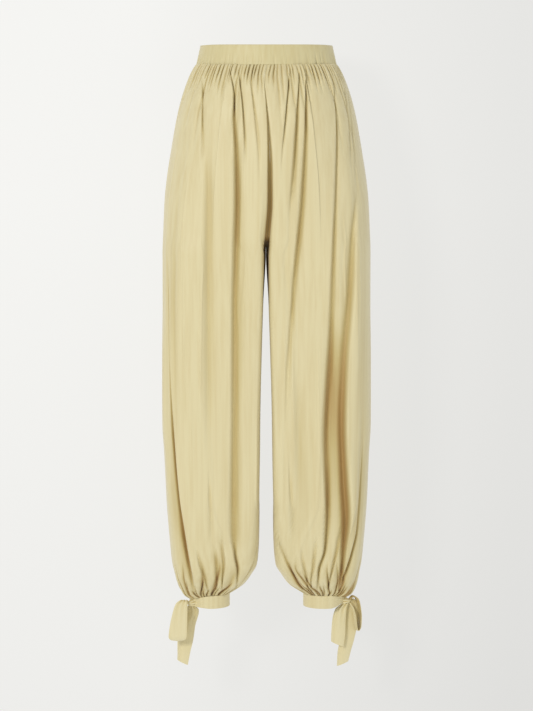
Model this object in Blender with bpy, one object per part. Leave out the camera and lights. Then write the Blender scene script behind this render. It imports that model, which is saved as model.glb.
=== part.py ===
"""Gathered tie-ankle trousers, filled out as if worn, with the waist at the origin.

Units are metres. +Z is up, the front faces -Y and +X is the wearer's left. The top
edge of the waistband lies at z = 0 and the garment hangs down from it. Each cut piece
of cloth is one closed wall, a seam's gap away from its neighbours.
"""

import math
from typing import NamedTuple

import bmesh
import bpy
import numpy as np

# The wearer's right leg lies at negative x, the left leg at positive x
RIGHT = -1.0
LEFT = 1.0
SIDE_NAMES = {RIGHT: "right", LEFT: "left"}
FRONT = -1.0
BACK = 1.0

# Cloth walls and the gap at each seam
SEAM_GAP = 0.0003
LEG_WALL = 0.0015
WAIST_WALL = 0.0024
ANKLE_WALL = 0.0020
TIE_WALL = 0.0012
MITRE_LIMIT = 1.5

# Waistband
WAIST_TOP_Z = 0.0
WAIST_HEIGHT = 0.0372
WAIST_HALF_WIDTH_TOP = 0.1255
WAIST_HALF_DEPTH_TOP = 0.095
WAIST_HALF_WIDTH_LOW = 0.1335
WAIST_HALF_DEPTH_LOW = 0.101
WAIST_PUCKERS = 44
WAIST_PUCKER_DEPTH = 0.0006
WAIST_SIDE_DIP = 0.0035
WAIST_DIP_POWER = 8

# Leg panels
PANEL_COLUMNS = 44
WAIST_GATHERS = 22
ANKLE_GATHERS = 13
GATHER_DEPTH = 0.0026
ANKLE_GATHER_DEPTH = 0.0030
GATHER_AT_SEAM = 0.55
GATHER_UNEVEN = 0.22
WAIST_GATHER_RISE = 0.020
WAIST_GATHER_FADE = 0.130
ANKLE_GATHER_RISE = 0.015
ANKLE_GATHER_FADE = 0.090
CREASE_PULL = 0.5
CREASE_MIN_LEAN = 0.35
PELVIS_POWER = 2.2
LEG_POWER = 2.7
EDGE_CALM = 0.008
OUTLINE_SAMPLES = 240

# Ankle bands and ties
ANKLE_CENTRE_X = 0.111
ANKLE_RADIUS = 0.0395
ANKLE_TOP_Z = -1.0610
ANKLE_HEIGHT = 0.025
ANKLE_PUCKERS = 18
ANKLE_PUCKER_DEPTH = 0.0004
KNOT_HALF_DEPTH = 0.0066
KNOT_HALF_WIDTH = 0.0080
KNOT_HALF_HEIGHT = 0.0090
KNOT_SEAT = 0.0004
KNOT_Z = -1.0765
KNOT_ANGLE = {RIGHT: 219.0, LEFT: -12.0}

SATIN = (0.735, 0.665, 0.405, 1.0)
SATIN_TIE = (0.765, 0.690, 0.440, 1.0)
SATIN_ROUGHNESS = 0.46


class Station(NamedTuple):
    """One level of the legs: half sizes, and how far the two legs have parted."""

    z: float
    outer: float
    inner: float
    front: float
    back: float
    split: float


STATIONS = (
    Station(-0.0375, 0.1335, 0.0000, 0.1010, 0.1010, 0.00),
    Station(-0.0480, 0.1410, 0.0000, 0.1070, 0.1080, 0.00),
    Station(-0.0670, 0.1500, 0.0000, 0.1140, 0.1160, 0.01),
    Station(-0.0860, 0.1570, 0.0000, 0.1190, 0.1230, 0.03),
    Station(-0.1050, 0.1630, 0.0000, 0.1230, 0.1290, 0.05),
    Station(-0.1430, 0.1720, 0.0000, 0.1290, 0.1370, 0.09),
    Station(-0.2000, 0.1820, 0.0000, 0.1340, 0.1430, 0.17),
    Station(-0.2576, 0.1910, 0.0000, 0.1350, 0.1440, 0.28),
    Station(-0.2960, 0.1950, 0.0000, 0.1330, 0.1420, 0.41),
    Station(-0.3500, 0.1975, 0.0000, 0.1290, 0.1370, 0.68),
    Station(-0.3960, 0.1990, 0.0000, 0.1250, 0.1320, 1.00),
    Station(-0.4885, 0.1990, 0.0048, 0.1180, 0.1240, 1.00),
    Station(-0.5850, 0.2005, 0.0080, 0.1120, 0.1160, 1.00),
    Station(-0.7220, 0.2010, 0.0112, 0.1060, 0.1090, 1.00),
    Station(-0.7805, 0.1975, 0.0118, 0.1040, 0.1070, 1.00),
    Station(-0.8790, 0.1930, 0.0135, 0.1010, 0.1030, 1.00),
    Station(-0.9580, 0.1870, 0.0145, 0.0960, 0.0980, 1.00),
    Station(-0.9970, 0.1835, 0.0170, 0.0890, 0.0910, 1.00),
    Station(-1.0170, 0.1790, 0.0270, 0.0810, 0.0830, 1.00),
    Station(-1.0370, 0.1725, 0.0400, 0.0680, 0.0690, 1.00),
    Station(-1.0530, 0.1630, 0.0590, 0.0500, 0.0500, 1.00),
    Station(-1.0607, 0.1525, 0.0700, 0.0400, 0.0400, 1.00),
)
CROTCH_Z = -0.3960

# Levels of the panel's rows, from the waist seam to the ankle seam
ROW_LEVELS = (-0.0375, -0.0470, -0.0620, -0.0880, -0.1300, -0.1850, -0.2450, -0.3050, -0.3560,
              CROTCH_Z, -0.4600, -0.5800, -0.7200, -0.8500, -0.9300, -0.9850, -1.0250,
              -1.0500, -1.0607)


class Crease(NamedTuple):
    """A fold of a leg panel: its valley's path and how wide it opens on each side."""

    leg: float
    face: float
    centre_width: float
    side_width: float
    path: tuple


# Each path lists (x from the axis, z, depth) from its top to its foot
CREASES = (
    Crease(RIGHT, FRONT, 0.008, 0.012, ((0.121, -0.060, 0.0), (0.122, -0.110, 0.007),
                                        (0.123, -0.180, 0.006), (0.122, -0.260, 0.0))),
    Crease(RIGHT, FRONT, 0.016, 0.018, ((0.109, -0.220, 0.0), (0.109, -0.400, 0.005),
                                        (0.110, -0.700, 0.005), (0.114, -0.990, 0.0))),
    Crease(RIGHT, FRONT, 0.011, 0.008, ((0.070, -0.047, 0.0), (0.062, -0.110, 0.011),
                                        (0.057, -0.250, 0.015), (0.058, -0.400, 0.010),
                                        (0.060, -0.620, 0.006), (0.062, -0.900, 0.010),
                                        (0.058, -0.985, 0.014), (0.062, -1.045, 0.0))),
    Crease(RIGHT, FRONT, 0.008, 0.009, ((0.050, -0.060, 0.0), (0.045, -0.130, 0.007),
                                        (0.040, -0.200, 0.005), (0.038, -0.290, 0.0))),
    Crease(RIGHT, FRONT, 0.008, 0.008, ((0.028, -0.060, 0.0), (0.023, -0.150, 0.006),
                                        (0.019, -0.240, 0.005), (0.017, -0.340, 0.0))),
    Crease(RIGHT, FRONT, 0.012, 0.010, ((0.183, -0.380, 0.0), (0.178, -0.560, 0.006),
                                        (0.170, -0.800, 0.008), (0.157, -0.945, 0.014),
                                        (0.145, -1.000, 0.014), (0.139, -1.045, 0.0))),
    Crease(LEFT, FRONT, 0.009, 0.008, ((0.045, -0.050, 0.0), (0.036, -0.120, 0.008),
                                       (0.030, -0.180, 0.005), (0.026, -0.250, 0.0))),
    Crease(LEFT, FRONT, 0.010, 0.008, ((0.061, -0.045, 0.0), (0.057, -0.130, 0.009),
                                       (0.051, -0.210, 0.007), (0.043, -0.310, 0.0))),
    Crease(LEFT, FRONT, 0.009, 0.011, ((0.074, -0.050, 0.0), (0.072, -0.160, 0.008),
                                       (0.064, -0.320, 0.009), (0.050, -0.480, 0.007),
                                       (0.040, -0.680, 0.0))),
    Crease(LEFT, FRONT, 0.013, 0.010, ((0.127, -0.060, 0.0), (0.132, -0.180, 0.008),
                                       (0.126, -0.400, 0.009), (0.116, -0.660, 0.007),
                                       (0.115, -0.880, 0.009), (0.103, -0.985, 0.011),
                                       (0.100, -1.045, 0.0))),
    Crease(LEFT, FRONT, 0.011, 0.012, ((0.170, -0.280, 0.0), (0.158, -0.450, 0.007),
                                       (0.144, -0.680, 0.009), (0.149, -0.850, 0.018),
                                       (0.151, -0.935, 0.018), (0.140, -1.045, 0.0))),
    Crease(LEFT, FRONT, 0.009, 0.010, ((0.182, -0.780, 0.0), (0.175, -0.900, 0.008),
                                       (0.160, -1.000, 0.010), (0.146, -1.048, 0.0))),
    Crease(LEFT, FRONT, 0.009, 0.010, ((0.154, -0.060, 0.0), (0.160, -0.120, 0.006),
                                       (0.164, -0.190, 0.005), (0.166, -0.260, 0.0))),
    Crease(RIGHT, BACK, 0.010, 0.012, ((0.060, -0.045, 0.0), (0.056, -0.150, 0.009),
                                       (0.050, -0.300, 0.011), (0.055, -0.520, 0.006),
                                       (0.060, -0.700, 0.0))),
    Crease(RIGHT, BACK, 0.011, 0.013, ((0.102, -0.060, 0.0), (0.106, -0.210, 0.008),
                                       (0.104, -0.480, 0.010), (0.099, -0.760, 0.007),
                                       (0.097, -0.960, 0.011), (0.100, -1.045, 0.0))),
    Crease(RIGHT, BACK, 0.010, 0.010, ((0.150, -0.070, 0.0), (0.163, -0.300, 0.006),
                                       (0.158, -0.620, 0.008), (0.148, -0.900, 0.013),
                                       (0.138, -1.045, 0.0))),
    Crease(RIGHT, BACK, 0.009, 0.010, ((0.026, -0.055, 0.0), (0.023, -0.140, 0.006),
                                       (0.021, -0.260, 0.0))),
    Crease(RIGHT, BACK, 0.009, 0.009, ((0.046, -0.780, 0.0), (0.050, -0.920, 0.009),
                                       (0.064, -1.000, 0.010), (0.076, -1.046, 0.0))),
    Crease(LEFT, BACK, 0.011, 0.010, ((0.056, -0.045, 0.0), (0.050, -0.170, 0.010),
                                      (0.056, -0.380, 0.010), (0.064, -0.600, 0.0))),
    Crease(LEFT, BACK, 0.010, 0.012, ((0.090, -0.050, 0.0), (0.092, -0.160, 0.007),
                                      (0.096, -0.290, 0.0))),
    Crease(LEFT, BACK, 0.013, 0.011, ((0.128, -0.070, 0.0), (0.134, -0.260, 0.008),
                                      (0.126, -0.560, 0.011), (0.118, -0.850, 0.010),
                                      (0.112, -0.980, 0.012), (0.112, -1.046, 0.0))),
    Crease(LEFT, BACK, 0.010, 0.012, ((0.176, -0.300, 0.0), (0.170, -0.560, 0.006),
                                      (0.161, -0.820, 0.011), (0.148, -0.970, 0.012),
                                      (0.141, -1.046, 0.0))),
    Crease(LEFT, BACK, 0.010, 0.009, ((0.060, -0.640, 0.0), (0.056, -0.820, 0.007),
                                      (0.062, -0.960, 0.010), (0.080, -1.046, 0.0))),
)


class Bend(NamedTuple):
    """One station of a tie: its middle beside the knot's centre, width and turn."""

    outward: float
    forward: float
    up: float
    width: float
    turn: float


# Turn is the angle of the tie's width in plan, from the x axis, in degrees
LOOPS = {
    RIGHT: (
        Bend(0.0110, 0.001, 0.0035, 0.008, 0.0), Bend(0.0145, 0.007, 0.0085, 0.013, 0.0),
        Bend(0.0165, 0.015, 0.0050, 0.021, 0.0), Bend(0.0205, 0.017, -0.0180, 0.029, 0.0),
        Bend(0.0240, 0.016, -0.0480, 0.034, 0.0), Bend(0.0255, 0.012, -0.0640, 0.034, 0.0),
        Bend(0.0255, 0.006, -0.0685, 0.034, 0.0), Bend(0.0250, 0.001, -0.0630, 0.033, 0.0),
        Bend(0.0225, -0.002, -0.0400, 0.028, 0.0), Bend(0.0185, -0.002, -0.0140, 0.019, 0.0),
        Bend(0.0113, -0.001, -0.0030, 0.008, 0.0),
    ),
    LEFT: (
        Bend(0.0070, 0.000, 0.0030, 0.008, 86.0), Bend(0.0125, 0.000, 0.0085, 0.014, 86.0),
        Bend(0.0190, 0.002, 0.0060, 0.020, 84.0), Bend(0.0235, 0.003, -0.0080, 0.023, 80.0),
        Bend(0.0255, 0.003, -0.0300, 0.024, 78.0), Bend(0.0245, 0.003, -0.0490, 0.024, 78.0),
        Bend(0.0205, 0.003, -0.0580, 0.024, 78.0), Bend(0.0160, 0.003, -0.0500, 0.024, 80.0),
        Bend(0.0135, 0.003, -0.0300, 0.023, 82.0), Bend(0.0110, 0.002, -0.0110, 0.016, 84.0),
        Bend(0.0071, 0.001, -0.0030, 0.008, 86.0),
    ),
}
TAILS = {
    ("front", RIGHT): (
        Bend(-0.001, -0.001, -0.0094, 0.010, 0.0), Bend(-0.002, -0.006, -0.0200, 0.018, 4.0),
        Bend(0.004, -0.014, -0.0480, 0.025, 6.0), Bend(0.009, -0.018, -0.0780, 0.026, -4.0),
        Bend(0.013, -0.017, -0.1000, 0.025, -6.0), Bend(0.015, -0.016, -0.1205, 0.021, -4.0),
    ),
    ("rear", RIGHT): (
        Bend(0.001, -0.0042, -0.0083, 0.008, 8.0), Bend(0.002, -0.014, -0.0190, 0.017, 8.0),
        Bend(0.009, -0.024, -0.0480, 0.024, 8.0), Bend(0.014, -0.027, -0.0800, 0.025, 2.0),
        Bend(0.016, -0.025, -0.1080, 0.022, 0.0),
    ),
    ("front", LEFT): (
        Bend(-0.0020, 0.0036, -0.0088, 0.009, 0.0), Bend(-0.0125, 0.0140, -0.0180, 0.018, 4.0),
        Bend(-0.018, 0.0240, -0.0380, 0.021, 8.0), Bend(-0.020, 0.0250, -0.0650, 0.021, 4.0),
        Bend(-0.0205, 0.0240, -0.0840, 0.020, 0.0),
    ),
    ("rear", LEFT): (
        Bend(0.001, -0.001, -0.0094, 0.010, 0.0), Bend(0.002, -0.010, -0.0190, 0.017, -2.0),
        Bend(0.002, -0.020, -0.0440, 0.026, -4.0), Bend(-0.003, -0.016, -0.0780, 0.026, 4.0),
        Bend(-0.007, -0.014, -0.1020, 0.025, 8.0), Bend(-0.009, -0.013, -0.1205, 0.021, 6.0),
    ),
}
LOOP_ROWS = 20
TAIL_ROWS = 9
TIE_COLUMNS = 2
TAIL_SLANT = 0.006


def clear_scene():
    """Remove every object that the file opens with."""
    for old in list(bpy.data.objects):
        bpy.data.objects.remove(old, do_unlink=True)


def smooth_table(at, keys, values):
    """Values between the rows of a table, on a curve that never overshoots them."""
    keys = np.asarray(keys, dtype=float)
    values = np.asarray(values, dtype=float)
    if keys[0] > keys[-1]:
        keys = keys[::-1]
        values = values[::-1]
    steps = np.diff(keys)
    slopes = np.diff(values) / steps
    tangents = np.zeros(len(keys))
    tangents[0] = slopes[0]
    tangents[-1] = slopes[-1]
    for i in range(1, len(keys) - 1):
        if slopes[i - 1] * slopes[i] > 0.0:
            weight_low = 2.0 * steps[i] + steps[i - 1]
            weight_high = steps[i] + 2.0 * steps[i - 1]
            tangents[i] = (weight_low + weight_high) / (weight_low / slopes[i - 1]
                                                        + weight_high / slopes[i])
    at = np.clip(np.asarray(at, dtype=float), keys[0], keys[-1])
    index = np.clip(np.searchsorted(keys, at) - 1, 0, len(steps) - 1)
    span = steps[index]
    share = (at - keys[index]) / span
    rise = share * share * (3.0 - 2.0 * share)
    low = values[index] * (1.0 - rise) + values[index + 1] * rise
    lean = share * (1.0 - share) ** 2 * tangents[index]
    lean_next = share * share * (share - 1.0) * tangents[index + 1]
    return low + span * (lean + lean_next)


def smooth_step(value):
    """Ease from 0 to 1 over the range 0 to 1."""
    value = np.clip(value, 0.0, 1.0)
    return value * value * (3.0 - 2.0 * value)


def station_at(z):
    """Sizes of the legs at a level between the stations."""
    keys = [row.z for row in STATIONS]
    sizes = []
    for column in range(1, len(Station._fields)):
        sizes.append(float(smooth_table(z, keys, [row[column] for row in STATIONS])))
    return Station(z, *sizes)


def outline_at(z, face):
    """Plain outline of one quarter at a level, from the axis or inseam to the side."""
    size = station_at(z)
    depth = size.front if face == FRONT else size.back
    turn = np.linspace(0.0, math.pi, OUTLINE_SAMPLES)
    across = size.inner + (size.outer - size.inner) * (1.0 - np.cos(turn)) / 2.0
    pelvis = np.clip(across / size.outer, 0.0, 1.0) ** PELVIS_POWER
    pelvis = np.clip(1.0 - pelvis, 0.0, 1.0) ** (1.0 / PELVIS_POWER)
    middle = (size.outer + size.inner) / 2.0
    reach = (size.outer - size.inner) / 2.0
    leg = np.clip(np.abs(across - middle) / reach, 0.0, 1.0) ** LEG_POWER
    leg = np.clip(1.0 - leg, 0.0, 1.0) ** (1.0 / LEG_POWER)
    outward = depth * ((1.0 - size.split) * pelvis + size.split * leg)
    return np.stack([across, outward], axis=1)


def crease_depth(leg, face, across, z):
    """How far the creases of a panel sink at a place on it."""
    depth = np.zeros_like(across)
    for crease in CREASES:
        if crease.leg != leg or crease.face != face:
            continue
        keys = [knot[1] for knot in crease.path]
        if not keys[-1] < z < keys[0]:
            continue
        line = float(smooth_table(z, keys, [knot[0] for knot in crease.path]))
        deep = float(smooth_table(z, keys, [knot[2] for knot in crease.path]))
        away = across - line
        width = np.where(away < 0.0, crease.centre_width, crease.side_width)
        depth += deep * np.exp(-(away / width) ** 2)
    return depth


def gather_height(share, z, leg, face):
    """Rise and fall of the gathers below the waistband and above the ankle band."""
    waist = np.cos(2.0 * math.pi * WAIST_GATHERS * share)
    ankle = np.cos(2.0 * math.pi * (ANKLE_GATHERS * share + 0.25))
    height = np.zeros_like(share)
    for wave, depth, away, rise, fade in (
            (waist, GATHER_DEPTH, STATIONS[0].z - z, WAIST_GATHER_RISE, WAIST_GATHER_FADE),
            (ankle, ANKLE_GATHER_DEPTH, z - STATIONS[-1].z, ANKLE_GATHER_RISE,
             ANKLE_GATHER_FADE)):
        grow = GATHER_AT_SEAM + (1.0 - GATHER_AT_SEAM) * smooth_step(away / rise)
        height += wave * depth * grow * (1.0 - smooth_step((away - rise) / fade))
    uneven = 1.0 - GATHER_UNEVEN * (1.0 - np.sin(31.0 * share + 2.0 * leg + face))
    return uneven * height


def panel_row(leg, face, z):
    """Points of one level of a panel, from its centre or inseam edge to its side."""
    fine = outline_at(z, face)
    lengths = np.concatenate([[0.0], np.cumsum(np.linalg.norm(np.diff(fine, axis=0), axis=1))])
    shares = np.linspace(0.0, 1.0, PANEL_COLUMNS + 1)
    along = shares * lengths[-1]
    across = np.interp(along, lengths, fine[:, 0])
    outward = np.interp(along, lengths, fine[:, 1])
    reach = lengths[-1] / PANEL_COLUMNS
    ahead = np.stack([np.interp(along + reach, lengths, fine[:, 0]),
                      np.interp(along + reach, lengths, fine[:, 1])], axis=1)
    behind = np.stack([np.interp(along - reach, lengths, fine[:, 0]),
                       np.interp(along - reach, lengths, fine[:, 1])], axis=1)
    tangent = ahead - behind
    tangent /= np.linalg.norm(tangent, axis=1)[:, None]
    normal = np.stack([-tangent[:, 1], tangent[:, 0]], axis=1)
    calm = smooth_step(along / EDGE_CALM) * smooth_step((lengths[-1] - along) / EDGE_CALM)
    move = gather_height(shares, z, leg, face) * calm
    sink = crease_depth(leg, face, across, z) * calm
    x = across + normal[:, 0] * (move - CREASE_PULL * sink)
    y = outward + normal[:, 1] * move - sink * np.maximum(normal[:, 1], CREASE_MIN_LEAN)
    half_gap = SEAM_GAP / 2.0
    x = np.maximum(x, half_gap)
    y = np.maximum(y, half_gap)
    return np.stack([leg * x, face * y, np.full_like(x, z)], axis=1)


def wall_inside(outer, wall, middles):
    """Inner points of a wall: the outer points moved in along the mitred normals.

    middles holds, for each row, a point inside the space that the wall goes round.
    """
    rows, columns = outer.shape[:2]
    inner = np.empty_like(outer)
    for i in range(rows):
        for j in range(columns):
            up = outer[max(i - 1, 0), j]
            down = outer[min(i + 1, rows - 1), j]
            before = outer[i, max(j - 1, 0)]
            after = outer[i, min(j + 1, columns - 1)]
            normal = np.cross(after - before, down - up)
            normal /= np.linalg.norm(normal)
            if np.dot(normal, outer[i, j] - middles[i]) < 0.0:
                normal = -normal
            flat = []
            for side in (before, after):
                edge = side - outer[i, j]
                length = np.linalg.norm(edge)
                if length > 0.0:
                    lean = abs(np.dot(edge / length, normal))
                    flat.append(math.sqrt(max(1.0 - lean * lean, 0.0)))
            mitre = min(1.0 / max(np.mean(flat), 1.0 / MITRE_LIMIT), MITRE_LIMIT)
            inner[i, j] = outer[i, j] - normal * wall * mitre
    return inner


def set_seam_edges(leg, face, outer, inner):
    """Keep a panel's edges in the planes of its seams, so that neighbours never meet."""
    rows = len(outer)
    for i in range(rows):
        inner[i, -1] = outer[i, -1] - np.array([leg * LEG_WALL, 0.0, 0.0])
        level = outer[i, 0, 2]
        if level < CROTCH_Z:
            inner[i, 0] = outer[i, 0] + np.array([leg * LEG_WALL, 0.0, 0.0])
            continue
        inward = np.array([0.0, 0.0, 1.0])
        if level > CROTCH_Z:
            run = outer[min(i + 1, rows - 1), 0] - outer[max(i - 1, 0), 0]
            inward = np.array([0.0, -face * abs(run[2]), abs(run[1])])
            inward /= np.linalg.norm(inward)
        inner[i, 0] = outer[i, 0] + LEG_WALL * MITRE_LIMIT * inward
    half_gap = SEAM_GAP / 2.0
    inner[:, :, 0] = leg * np.maximum(leg * inner[:, :, 0], half_gap)
    inner[:, :, 1] = face * np.maximum(face * inner[:, :, 1], half_gap)
    inner[0, :, 2] = outer[0, :, 2]
    inner[-1, :, 2] = outer[-1, :, 2]


def close_wall(name, outer, inner):
    """One closed body between two grids of points, made by extruding a flat grid."""
    rows, columns = outer.shape[:2]
    body = bmesh.new()
    bmesh.ops.create_grid(body, x_segments=columns - 1, y_segments=rows - 1, size=0.5)
    for vert in body.verts:
        vert.co.z = 0.0
    made = bmesh.ops.extrude_face_region(body, geom=body.faces[:])
    lifted = {item for item in made["geom"] if isinstance(item, bmesh.types.BMVert)}
    for vert in body.verts:
        j = round((vert.co.x + 0.5) * (columns - 1))
        i = round((0.5 - vert.co.y) * (rows - 1))
        vert.co = inner[i, j] if vert in lifted else outer[i, j]
    return finish_body(name, body)


def finish_body(name, body):
    """Turn a bmesh into a named object, shaded smooth, with its faces outward."""
    bmesh.ops.recalc_face_normals(body, faces=body.faces[:])
    if body.calc_volume(signed=True) < 0.0:
        bmesh.ops.reverse_faces(body, faces=body.faces[:])
    mesh = bpy.data.meshes.new(name)
    body.to_mesh(mesh)
    body.free()
    for polygon in mesh.polygons:
        polygon.use_smooth = True
    piece = bpy.data.objects.new(name, mesh)
    bpy.context.scene.collection.objects.link(piece)
    return piece


def dress(piece, colour):
    """Give a piece its own satin."""
    satin = bpy.data.materials.new(piece.name + "_satin")
    satin.use_nodes = True
    shader = satin.node_tree.nodes["Principled BSDF"]
    shader.inputs["Base Color"].default_value = colour
    shader.inputs["Roughness"].default_value = SATIN_ROUGHNESS
    shader.inputs["Metallic"].default_value = 0.0
    piece.data.materials.append(satin)


def leg_panel(leg, face):
    """Cut one leg panel, gather it and hang its creases."""
    outer = np.stack([panel_row(leg, face, z) for z in ROW_LEVELS])
    middles = []
    for z in ROW_LEVELS:
        size = station_at(z)
        middles.append((leg * (size.outer + size.inner) / 2.0, 0.0, z))
    inner = wall_inside(outer, LEG_WALL, np.array(middles))
    set_seam_edges(leg, face, outer, inner)
    place = "front" if face == FRONT else "back"
    dress(close_wall(f"{place}_leg_{SIDE_NAMES[leg]}", outer, inner), SATIN)


def ring_body(name, rings, colour):
    """Closed body through a set of rings: the last ring joins the first again."""
    count = len(rings[0])
    body = bmesh.new()
    grid = []
    for ring in rings:
        grid.append([body.verts.new(point) for point in ring])
    for i in range(len(grid)):
        low = grid[(i + 1) % len(grid)]
        for j in range(count):
            after = (j + 1) % count
            body.faces.new((grid[i][j], grid[i][after], low[after], low[j]))
    dress(finish_body(name, body), colour)


def waistband():
    """Oval strip round the waist, fuller and puckered toward its lower edge."""
    segments = 2 * WAIST_PUCKERS
    # Each profile row: share of the height from the top, inset, share of the pucker
    profile = ((0.00, WAIST_WALL - 0.0007, 0.0), (0.00, 0.0007, 0.0), (0.04, 0.0, 0.1),
               (0.45, 0.0, 0.6), (0.97, 0.0, 1.0), (1.00, 0.0006, 0.5),
               (1.00, WAIST_WALL, 0.0), (0.04, WAIST_WALL, 0.0))
    rings = []
    for share, inset, pucker in profile:
        half_width = WAIST_HALF_WIDTH_TOP + (WAIST_HALF_WIDTH_LOW - WAIST_HALF_WIDTH_TOP) * share
        half_depth = WAIST_HALF_DEPTH_TOP + (WAIST_HALF_DEPTH_LOW - WAIST_HALF_DEPTH_TOP) * share
        ring = []
        for j in range(segments):
            turn = 2.0 * math.pi * j / segments
            wave = WAIST_PUCKER_DEPTH * pucker * (1.0 if j % 2 == 0 else -1.0)
            reach = wave - inset
            dip = WAIST_SIDE_DIP * abs(math.cos(turn)) ** WAIST_DIP_POWER * (1.0 - share)
            ring.append(((half_width + reach) * math.cos(turn),
                         (half_depth + reach) * math.sin(turn),
                         WAIST_TOP_Z - WAIST_HEIGHT * share - dip))
        rings.append(ring)
    ring_body("waistband", rings, SATIN)


def ankle_band(leg):
    """Narrow round strip that takes in the foot of one leg."""
    segments = 2 * ANKLE_PUCKERS
    profile = ((0.00, ANKLE_WALL - 0.0005, 0.0), (0.00, 0.0005, 0.3), (0.05, 0.0, 0.8),
               (0.95, 0.0, 0.8), (1.00, 0.0005, 0.3), (1.00, ANKLE_WALL - 0.0003, 0.0))
    rings = []
    for share, inset, pucker in profile:
        ring = []
        for j in range(segments):
            turn = 2.0 * math.pi * j / segments
            wave = ANKLE_PUCKER_DEPTH * pucker * (1.0 if j % 2 == 0 else -1.0)
            reach = ANKLE_RADIUS + wave - inset
            ring.append((leg * ANKLE_CENTRE_X + reach * math.cos(turn),
                         reach * math.sin(turn), ANKLE_TOP_Z - ANKLE_HEIGHT * share))
        rings.append(ring)
    ring_body(f"ankle_band_{SIDE_NAMES[leg]}", rings, SATIN)


def knot_centre(leg):
    """Middle of the knot, on the outer side of its ankle band."""
    turn = math.radians(KNOT_ANGLE[leg])
    reach = ANKLE_RADIUS + KNOT_HALF_DEPTH + KNOT_SEAT
    return np.array([leg * ANKLE_CENTRE_X + reach * math.cos(turn),
                     reach * math.sin(turn), KNOT_Z])


def knot(leg):
    """Small round knot where the ends of the ankle band are tied."""
    turn = math.radians(KNOT_ANGLE[leg])
    centre = knot_centre(leg)
    body = bmesh.new()
    bmesh.ops.create_uvsphere(body, u_segments=14, v_segments=8, radius=1.0)
    for vert in body.verts:
        out = vert.co.x * KNOT_HALF_DEPTH
        side = vert.co.y * KNOT_HALF_WIDTH
        vert.co = (centre[0] + out * math.cos(turn) - side * math.sin(turn),
                   centre[1] + out * math.sin(turn) + side * math.cos(turn),
                   centre[2] + vert.co.z * KNOT_HALF_HEIGHT)
    dress(finish_body(f"knot_{SIDE_NAMES[leg]}", body), SATIN_TIE)


def tie_sheet(leg, bends, rows, slant):
    """Middle sheet of a tie through its stations, and the normals across it."""
    middle = knot_centre(leg)
    table = np.array([tuple(bend) for bend in bends])
    steps = np.linalg.norm(np.diff(table[:, :3], axis=0), axis=1)
    keys = np.concatenate([[0.0], np.cumsum(steps)])
    at = np.linspace(0.0, keys[-1], rows + 1)
    line = np.stack([smooth_table(at, keys, column) for column in table.T], axis=1)
    centres = np.stack([middle[0] + leg * line[:, 0], middle[1] - line[:, 1],
                        middle[2] + line[:, 2]], axis=1)
    tangents = np.gradient(centres, axis=0)
    sheet = np.empty((rows + 1, TIE_COLUMNS + 1, 3))
    normals = np.empty_like(sheet)
    for i in range(rows + 1):
        turn = math.radians(line[i, 4])
        across = np.array([math.cos(turn), math.sin(turn), 0.0])
        normal = np.cross(tangents[i], across)
        normal /= np.linalg.norm(normal)
        for j in range(TIE_COLUMNS + 1):
            share = 2.0 * j / TIE_COLUMNS - 1.0
            sheet[i, j] = centres[i] + across * share * line[i, 3] / 2.0
            normals[i, j] = normal
    # The free end is cut aslant, a little longer at its middle
    sheet[rows, :, 2] += slant * np.linspace(1.0, -0.6, TIE_COLUMNS + 1)
    sheet[rows, 1, 2] -= abs(slant) * 0.7
    return sheet, normals


def tie(name, leg, bends, rows, slant):
    """One length of the tie, a flat strip that follows its stations."""
    sheet, normals = tie_sheet(leg, bends, rows, slant)
    half = normals * TIE_WALL / 2.0
    dress(close_wall(name, sheet + half, sheet - half), SATIN_TIE)


def main():
    """Build every piece of the trousers."""
    clear_scene()
    waistband()
    for leg in (RIGHT, LEFT):
        leg_panel(leg, FRONT)
        leg_panel(leg, BACK)
        ankle_band(leg)
        knot(leg)
        side = SIDE_NAMES[leg]
        tie(f"loop_{side}", leg, LOOPS[leg], LOOP_ROWS, 0.0)
        tie(f"tail_front_{side}", leg, TAILS[("front", leg)], TAIL_ROWS, TAIL_SLANT)
        tie(f"tail_rear_{side}", leg, TAILS[("rear", leg)], TAIL_ROWS, -TAIL_SLANT)


main()
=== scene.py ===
"""Looks of the gathered tie-ankle trousers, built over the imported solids.

Every cloth piece is a thin shell on the form of its solid. Sizes are metres, +Z is up,
the front faces -Y, +X is the wearer's left and z = 0 is the waistband's top edge.
"""
import logging
import math
from dataclasses import dataclass
from enum import Enum
from typing import NamedTuple

import bmesh
import bpy
import numpy as np
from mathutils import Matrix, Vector


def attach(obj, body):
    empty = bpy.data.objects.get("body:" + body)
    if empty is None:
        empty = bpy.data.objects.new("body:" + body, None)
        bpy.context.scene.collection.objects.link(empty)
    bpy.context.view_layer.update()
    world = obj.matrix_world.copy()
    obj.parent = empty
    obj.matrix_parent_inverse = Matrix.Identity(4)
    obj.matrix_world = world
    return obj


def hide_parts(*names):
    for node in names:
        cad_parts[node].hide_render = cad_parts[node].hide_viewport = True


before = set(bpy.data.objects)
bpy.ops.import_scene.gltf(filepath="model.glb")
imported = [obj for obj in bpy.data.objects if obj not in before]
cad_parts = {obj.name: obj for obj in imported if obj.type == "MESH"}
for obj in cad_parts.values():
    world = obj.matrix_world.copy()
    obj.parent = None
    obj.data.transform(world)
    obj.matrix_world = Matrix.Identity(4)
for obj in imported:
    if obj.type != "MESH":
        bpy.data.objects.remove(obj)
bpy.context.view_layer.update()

log = logging.getLogger("trousers")

Point = tuple[float, float, float]
Colour = tuple[float, float, float]

# Layer of shade painted into the cloth's folds, creases and hollows, from 0 to 1
FOLD_SHADE_LAYER = "fold"

# Waistband: half sizes of its oval at the top and low edge, and its height
WAIST_TOP = (0.1255, 0.095)
WAIST_LOW = (0.1335, 0.101)
WAIST_HEIGHT = 0.0372

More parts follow.
